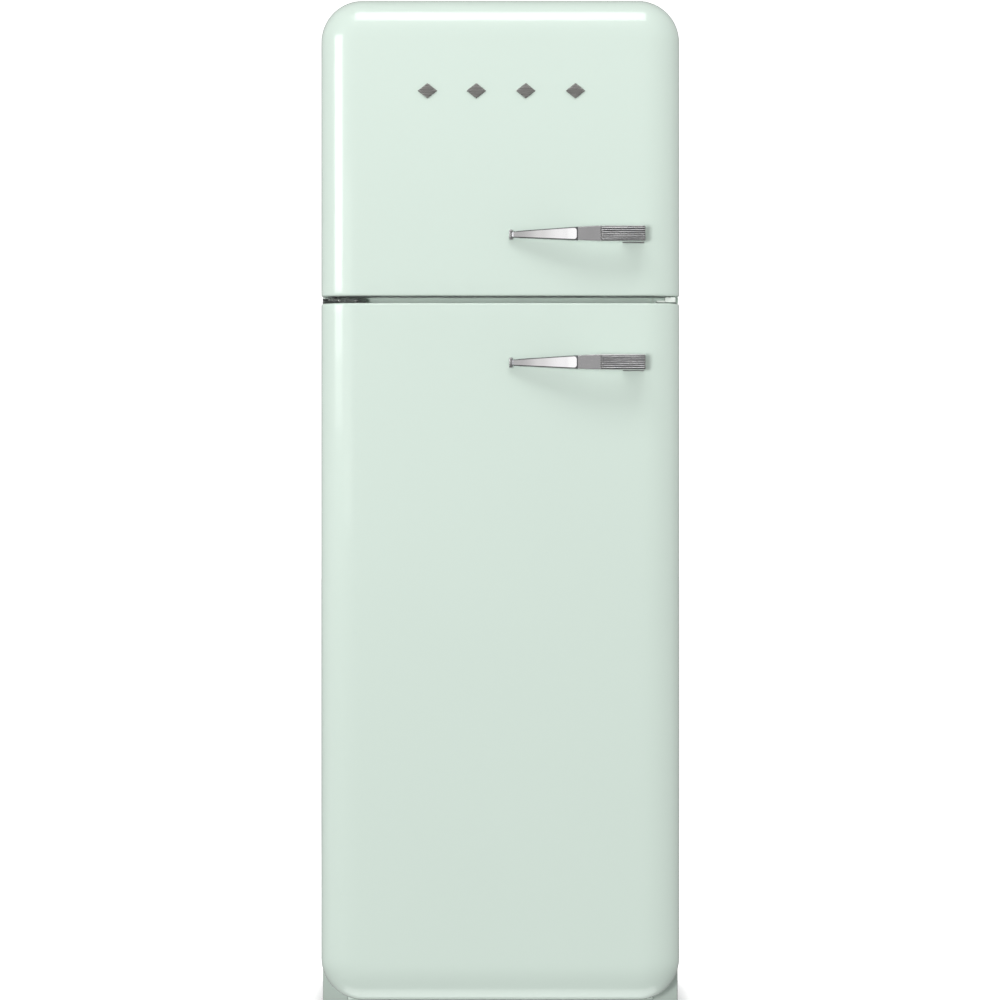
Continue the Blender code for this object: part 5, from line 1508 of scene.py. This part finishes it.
# ------------------------------------------------------------------ compressor, tray, pipe
lo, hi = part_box("compressor")
squash = Matrix.Translation((-0.055, 0.264, 0.0338)) @ Matrix.Diagonal((1.12, 0.92, 1.0, 1.0))
profile = [(0, 0.1650), (0.018, 0.1645), (0.035, 0.1620), (0.048, 0.1565), (0.058, 0.1480), (0.0645, 0.1360), (0.0680, 0.1220),
           (0.0692, 0.1050), (0.0700, 0.0870), (0.0712, 0.0845), (0.0735, 0.0838), (0.0740, 0.0826), (0.0740, 0.0784), (0.0733, 0.0772),
           (0.0712, 0.0765), (0.0700, 0.0740), (0.0692, 0.0550), (0.0680, 0.0350), (0.0640, 0.0220), (0.0560, 0.0120), (0.0440, 0.0045),
           (0.030, 0.0008), (0.0, 0.0)]
bm = lathe(profile, 72, squash)
for k in range(40):  # the weld's ripples round the seam
    a = 2 * math.pi * k / 40
    ball = lathe([(0, -0.0016), (0.0016, -0.0008), (0.0018, 0.0), (0.0016, 0.0008), (0, 0.0016)], 8,
                 squash @ Matrix.Translation((0.0702 * math.cos(a), 0.0702 * math.sin(a), 0.0868)))
    merge(bm, ball)
for side in (-1, 1):  # mounting feet
    merge(bm, block((-0.055 + side * 0.052 - 0.011, lo.y + 0.004, lo.z + 0.0002), (-0.055 + side * 0.052 + 0.011, hi.y - 0.004, lo.z + 0.0030), 0.0010, 2))
put("compressor_can", from_bm(bm), "black_paint", "cabinet", ["compressor"], smooth=40.0)
bm = block((0.0060, 0.2380, 0.0960), (0.0520, 0.2900, 0.1500), 0.0030, 4)
merge(bm, block((0.0300, 0.2370, 0.0950), (0.0335, 0.2910, 0.1510), 0.0010, 2))
merge(bm, block((0.0516, 0.2560, 0.1120), (0.0532, 0.2720, 0.1340), 0.0006, 2))
put("terminal_cover", from_bm(bm), "black_plastic", "cabinet", smooth=30.0)
grommets = bmesh.new()
for sx in (-1, 1):
    for y in (lo.y + 0.012, hi.y - 0.012):
        merge(grommets, lathe([(0, 0.0105), (0.0034, 0.0105), (0.0034, 0.0075), (0.0070, 0.0070), (0.0078, 0.0050), (0.0060, 0.0038), (0.0078, 0.0030), (0.0078, 0.0028), (0, 0.0028)], 24,
                              Matrix.Translation((-0.055 + sx * 0.052, y, lo.z))))
put("compressor_grommets", from_bm(grommets), "black_plastic", "cabinet", smooth=40.0)

lo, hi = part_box("evaporation_tray")
put("evaporation_pan", from_bm(tub(lo, hi, 0.0018, 0.004, 0.012, 0.005)), "white_satin", "cabinet", ["evaporation_tray"], smooth=40.0)

route = [(0.0200, 0.264, 0.0700), (0.0600, 0.264, 0.0660), (0.1000, 0.264, 0.0650), (0.1280, 0.266, 0.0720),
         (0.1400, 0.272, 0.0950), (0.1440, 0.285, 0.1400), (0.1440, 0.305, 0.1900), (0.1440, 0.325, 0.2250),
         (0.1440, 0.3400, 0.2420), (0.1440, 0.3455, 0.2550), (0.1440, 0.3460, 0.2750)]


def smooth_path(points, steps=6):
    """A curve through every point (Catmull-Rom)."""
    out = []
    pts = [Vector(p) for p in points]
    for i in range(len(pts) - 1):
        p0, p1, p2, p3 = pts[max(i - 1, 0)], pts[i], pts[i + 1], pts[min(i + 2, len(pts) - 1)]
        for k in range(steps):
            t = k / steps
            out.append(0.5 * ((2 * p1) + (p2 - p0) * t + (2 * p0 - 5 * p1 + 4 * p2 - p3) * t * t + (3 * p1 - p0 - 3 * p2 + p3) * t ** 3))
    out.append(pts[-1])
    return out


bm = pipe(smooth_path(route), 0.0032, 14)
for z in (0.2680,):
    merge(bm, lathe([(0, -0.006), (0.0036, -0.006), (0.0046, -0.0045), (0.0046, 0.0045), (0.0036, 0.006), (0, 0.006)], 20, Matrix.Translation((0.1440, 0.3460, z))))
put("suction_tube", from_bm(bm), "copper", "cabinet", ["suction_pipe"], smooth=50.0)

# ------------------------------------------------------------------ base tray with roller lugs and axle
lo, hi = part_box("base_tray")
sheet_lo, sheet_hi = 0.0315, 0.0335
rows = []
for inset, z in ((0.0004, sheet_lo), (0.0, sheet_lo + 0.0004), (0.0, sheet_hi - 0.0004), (0.0004, sheet_hi)):
    rows.append([(x, y, z) for x, y in ring4(lo.x + inset, hi.x - inset, -0.2200 + inset, 0.3370 - inset, (0.004,) * 4, 5)])
bm = bmesh.new()
stack(bm, rows, cap_start=True, cap_end=True)
bmesh.ops.recalc_face_normals(bm, faces=bm.faces)
FOOT_X, FOOT_Y, ROLL_X, ROLL_Y, ROLL_R = 0.255, -0.180, 0.255, 0.300, 0.014
for y in (-0.120, 0.0, 0.120):
    merge(bm, block((-0.240, y - 0.006, sheet_lo - 0.0022), (0.240, y + 0.006, sheet_lo + 0.0006), 0.0016, 3))
for side in (-1, 1):
    for offset in (-0.0125, 0.0125):
        x = side * ROLL_X + offset
        lug = prism([(ROLL_Y - 0.010, 0.0325), (ROLL_Y - 0.008, 0.0125)] +
                    [(ROLL_Y + 0.008 * math.cos(math.radians(a)), 0.0140 + 0.007 * math.sin(math.radians(a))) for a in range(190, 351, 20)] +
                    [(ROLL_Y + 0.008, 0.0125), (ROLL_Y + 0.010, 0.0325)], x - 0.001, x + 0.001, "YZ", 0.0003, 1)
        merge(bm, lug)
merge(bm, lathe([(0, -0.2750), (0.0022, -0.2750), (0.0030, -0.2740), (0.0030, 0.2740), (0.0022, 0.2750), (0, 0.2750)], 20,
                Matrix.Translation((0, ROLL_Y, ROLL_R)) @ Matrix.Rotation(math.pi / 2, 4, "Y")))
tray = put("base_plate", from_bm(bm), "steel_grey", "cabinet", ["base_tray"], smooth=30.0)
holes = []
for side in (-1, 1):
    holes.append(lathe([(0, 0.020), (0.0066, 0.020), (0.0066, 0.045), (0, 0.045)], 24, Matrix.Translation((side * FOOT_X, FOOT_Y, 0))))
carve(tray, *holes)

for tag in ("left", "right"):
    side = -1 if tag == "left" else 1
    x = side * FOOT_X
    profile = [(0, 0.0560), (0.0040, 0.0560), (0.0048, 0.0552)]
    z = 0.0545
    while z > 0.0150:  # thread
        profile += [(0.0050, z), (0.0045, z - 0.0006), (0.0050, z - 0.0012)]
        z -= 0.0012
    profile += [(0.0052, 0.0140), (0.0085, 0.0128), (0.0150, 0.0112), (0.0176, 0.0100), (0.0188, 0.0080), (0.0190, 0.0030), (0.0184, 0.0010), (0.0172, 0.0), (0, 0.0)]
    bm = lathe(profile, 48, Matrix.Translation((x, FOOT_Y, 0)))
    for v in bm.verts:  # finger flats round the pad
        if 0.0005 < v.co.z < 0.0105:
            d = Vector((v.co.x - x, v.co.y - FOOT_Y))
            if d.length > 0.0170:
                k = 1 - 0.045 * max(0.0, math.cos(12 * math.atan2(d.y, d.x)))
                v.co.x, v.co.y = x + d.x * k, FOOT_Y + d.y * k
    put(f"levelling_foot_{tag}", from_bm(bm), "black_plastic", f"foot_{tag}", [f"foot_{tag}"], smooth=30.0)
    bm = lathe_ring([(0.0034, 0.0085), (0.0060, 0.0085), (0.0064, 0.0078), (0.0110, 0.0078), (0.0114, 0.0085), (0.0128, 0.0085), (0.0137, 0.0079), (0.0140, 0.0066),
                     (0.0140, 0.0022), (0.0135, 0.0018), (0.0135, -0.0018), (0.0140, -0.0022),
                     (0.0140, -0.0066), (0.0137, -0.0079), (0.0128, -0.0085), (0.0114, -0.0085), (0.0110, -0.0078), (0.0064, -0.0078), (0.0060, -0.0085), (0.0034, -0.0085)], 48,
                    Matrix.Translation((side * ROLL_X, ROLL_Y, ROLL_R)) @ Matrix.Rotation(math.pi / 2, 4, "Y"))
    put(f"wheel_{tag}", from_bm(bm), "black_plastic", f"roller_{tag}", [f"roller_{tag}"], smooth=30.0)



# ------------------------------------------------------------------ stage, light, camera
def stage_floor():
    """A pale floor whose glow is weaker near the fridge and weakest round its footprint, a painted shade and contact
    shadow, and a white surround that the camera sees and that lights nothing.
    """
    bm = bmesh.new()
    rings = [0.0, 0.3, 0.6, 0.9, 1.2, 1.6, 2.2, 3.2, 4.5, 6.5, 9.5, 16.0, 26.0, 40.5]
    steps = 64
    centre = bm.verts.new((0, 0, -0.0005))
    rows = [[bm.verts.new((r * math.cos(2 * math.pi * i / steps), r * math.sin(2 * math.pi * i / steps), -0.0005))
             for i in range(steps)] for r in rings[1:]]
    for i in range(steps):
        bm.faces.new((centre, rows[0][i], rows[0][(i + 1) % steps]))
    for a, b in zip(rows, rows[1:]):
        for i in range(steps):
            j = (i + 1) % steps
            bm.faces.new((a[i], b[i], b[j], a[j]))
    floor = from_bm(bm)
    g = Graph("pale_floor", Roughness=0.75, Emission_Color=(1, 1, 1, 1))
    g.set("Base Color", g.colours(g.noise(1.2, 1.0), (0.10, (0.66, 0.66, 0.66)), (0.90, (0.68, 0.68, 0.68))))
    axes = g.node("ShaderNodeSeparateXYZ")
    g.link(g.place(), axes.inputs[0])
    reach = g.node("ShaderNodeVectorMath", operation="LENGTH")
    g.link(g.place(), reach.inputs[0])
    behind = g.node("ShaderNodeMath", operation="MAXIMUM")
    g.link(g.spread(axes.outputs["Y"], FLOOR_FRONT, FLOOR_BACK, -0.75, 0.05), behind.inputs[0])
    g.link(g.spread(reach.outputs["Value"], FLOOR_FRONT, FLOOR_BACK, 0.5, 3.0), behind.inputs[1])
    behind = behind.outputs[0]
    sideways = g.node("ShaderNodeMath", operation="ABSOLUTE")
    g.link(axes.outputs["X"], sideways.inputs[0])
    lengthways = g.node("ShaderNodeMath", operation="ABSOLUTE")
    g.link(axes.outputs["Y"], lengthways.inputs[0])
    edge_x = g.spread(sideways.outputs[0], 0.0, 1.0, 0.26, 0.40)
    edge_y = g.spread(lengthways.outputs[0], 0.0, 1.0, 0.32, 0.46)
    outside = g.node("ShaderNodeMath", operation="MAXIMUM")
    g.link(edge_x, outside.inputs[0])
    g.link(edge_y, outside.inputs[1])
    # The glow is lower in front of and near the fridge (FLOOR_FRONT against FLOOR_BACK) and drops to about a third
    # round its footprint: a painted shade and contact shadow on top of the real shadows.
    painted_contact_shadow = g.spread(outside.outputs[0], 0.35, 1.0, 0.0, 1.0)
    glow = g.node("ShaderNodeMath", operation="MULTIPLY")
    g.link(behind, glow.inputs[0])
    g.link(painted_contact_shadow, glow.inputs[1])
    g.set("Emission Strength", glow.outputs[0])
    g.set("Normal", g.bump(g.noise(60.0, 1.0), 0.02, 0.001))
    floor.materials.append(g.mat)
    obj = bpy.data.objects.new("floor", floor)
    bpy.context.scene.collection.objects.link(obj)
    obj.visible_diffuse = obj.visible_glossy = False

    bm = bmesh.new()
    rows = []
    for k in range(13):
        a = math.radians(90 * k / 12)
        rows.append([(40.0 * math.cos(a) * math.cos(2 * math.pi * i / steps), 40.0 * math.cos(a) * math.sin(2 * math.pi * i / steps), 40.0 * math.sin(a) - 0.05)
                     for i in range(steps)])
    stack(bm, rows[:-1], cap_end=True)
    face_out(bm, (0, 0, 0), outwards=False)
    dome = from_bm(bm)
    g = Graph("white_surround", Roughness=1.0, Emission_Color=(1, 1, 1, 1))
    g.set("Base Color", g.colours(g.noise(0.5, 1.0), (0.10, (0.90, 0.90, 0.90)), (0.90, (0.92, 0.92, 0.92))))
    g.set("Emission Strength", g.spread(g.noise(0.4, 1.0), 1.02, 1.06))
    dome.materials.append(g.mat)
    obj = bpy.data.objects.new("surround", dome)
    bpy.context.scene.collection.objects.link(obj)
    obj.visible_diffuse = obj.visible_glossy = obj.visible_shadow = False
    obj.visible_transmission = obj.visible_volume_scatter = False


FLOOR_FRONT, FLOOR_BACK = 0.25, 0.85
stage_floor()


def area(name, place, aim, size, power, colour=(1, 1, 1), glossy=True, diffuse=True):
    light = bpy.data.lights.new(name, "AREA")
    light.shape = "RECTANGLE"
    light.size, light.size_y = size
    light.energy = power
    light.color = colour
    obj = bpy.data.objects.new(name, light)
    obj.location = place
    obj.rotation_euler = (Vector(aim) - Vector(place)).to_track_quat("-Z", "Y").to_euler()
    obj.visible_glossy = glossy
    obj.visible_diffuse = diffuse
    bpy.context.scene.collection.objects.link(obj)
    return obj


def direction(azimuth_left, elevation, distance, centre=(0, -0.30, 0.9)):
    """A place seen from the door's face: degrees to the left of straight ahead, and degrees up."""
    a, e = math.radians(azimuth_left), math.radians(elevation)
    return Vector(centre) + Vector((-math.sin(a) * math.cos(e), -math.cos(a) * math.cos(e), math.sin(e))) * distance


def softbox(name, azimuth_left, elevation, distance, centre, size, radiance, colour=(1, 1, 1), glossy=True, aim=None, diffuse=True):
    """An area light of the given brightness, whatever its size."""
    area(name, direction(azimuth_left, elevation, distance, centre), aim or centre, size,
         radiance * math.pi * size[0] * size[1], colour, glossy, diffuse)


STUDIO = 0.90  # all the lights together
softbox("front_fill", 11, 0, 6.6, (0, -0.3, 0.95), (1.0, 1.0), 68.0 * STUDIO, glossy=False)
softbox("card_right", -76, 0, 2.8, (0, -0.3, 0.95), (0.6, 1.8), 1.8, glossy=False)
softbox("card_low_left", 76, 0, 2.8, (0, -0.3, 0.95), (0.7, 1.9), 2.7, glossy=False)
softbox("side_right", -112, 12, 3.2, (0, 0.1, 0.85), (1.1, 1.9), 2.8, glossy=False)
softbox("side_left", 112, 12, 3.2, (0, 0.1, 0.85), (1.1, 1.9), 2.8, glossy=False)
softbox("back_fill", 172, 22, 3.4, (0, 0.2, 0.85), (1.4, 1.4), 3.6, glossy=False)
softbox("side_right_soft", -132, 18, 3.2, (0, 0.1, 0.95), (1.2, 1.2), 2.2, glossy=False)
softbox("side_left_soft", 132, 18, 3.2, (0, 0.1, 0.95), (1.2, 1.2), 2.2, glossy=False)
softbox("card_left", 27, 0, 2.6, (0, -0.3, 1.22), (0.80, 0.80), 0.62)
softbox("strip_left", 51, 0, 2.6, (0, -0.3, 1.80), (1.05, 0.96), 4.4, diffuse=False)
softbox("strip_left_fade", 51, 0, 2.6, (0, -0.3, 1.26), (1.05, 0.12), 2.6, diffuse=False)
softbox("strip_left_tail", 51, 0, 2.6, (0, -0.3, 1.12), (1.05, 0.16), 1.1, diffuse=False)
softbox("overhead_front", 0, 52, 2.6, (0, -0.3, 1.68), (1.8, 1.25), 3.7)

area("under_glow", Vector((0, -0.300, 0.012)), (0, -0.300, 1.0), (0.58, 0.05), 0.9 * math.pi * 0.029)

world = bpy.data.worlds.new("studio")
bpy.context.scene.world = world
world.use_nodes = True
tree = world.node_tree
back = tree.nodes["Background"]
back.inputs["Strength"].default_value = STUDIO
where = tree.nodes.new("ShaderNodeTexCoord")
split = tree.nodes.new("ShaderNodeSeparateXYZ")
ramp = tree.nodes.new("ShaderNodeValToRGB")
ramp.color_ramp.elements[0].position = 0.30
ramp.color_ramp.elements[0].color = (0.28, 0.28, 0.28, 1)
ramp.color_ramp.elements[1].position = 1.0
ramp.color_ramp.elements[1].color = (0.46, 0.46, 0.46, 1)
lift = tree.nodes.new("ShaderNodeMapRange")
lift.inputs["From Min"].default_value = -1.0
horizon = ramp.color_ramp.elements.new(0.5)
horizon.color = (0.40, 0.40, 0.40, 1)
tree.links.new(where.outputs["Generated"], split.inputs["Vector"])
tree.links.new(split.outputs["Z"], lift.inputs["Value"])
tree.links.new(lift.outputs["Result"], ramp.inputs["Fac"])
tree.links.new(ramp.outputs["Color"], back.inputs["Color"])

# The photograph's frame: 1.682 m of the door's widest plane over its height, seen level from far in front
FRAME_M, AIM_Z, AIM_X, PLANE_Y, AWAY = 1.682, 0.8817, -0.0005, -0.262, 7.2
camera = bpy.data.cameras.new("camera")
camera.sensor_width = camera.sensor_height = 36.0
camera.sensor_fit = "HORIZONTAL"
camera.lens = 36.0 * AWAY / FRAME_M
camera.clip_end = 60.0
eye = bpy.data.objects.new("camera", camera)
eye.location = (AIM_X, PLANE_Y - AWAY, AIM_Z)
eye.rotation_euler = (math.radians(90), 0, 0)
bpy.context.scene.collection.objects.link(eye)
bpy.context.scene.camera = eye
bpy.context.scene.view_settings.view_transform = "Standard"
bpy.context.scene.view_settings.look = "None"

bpy.context.view_layer.update()
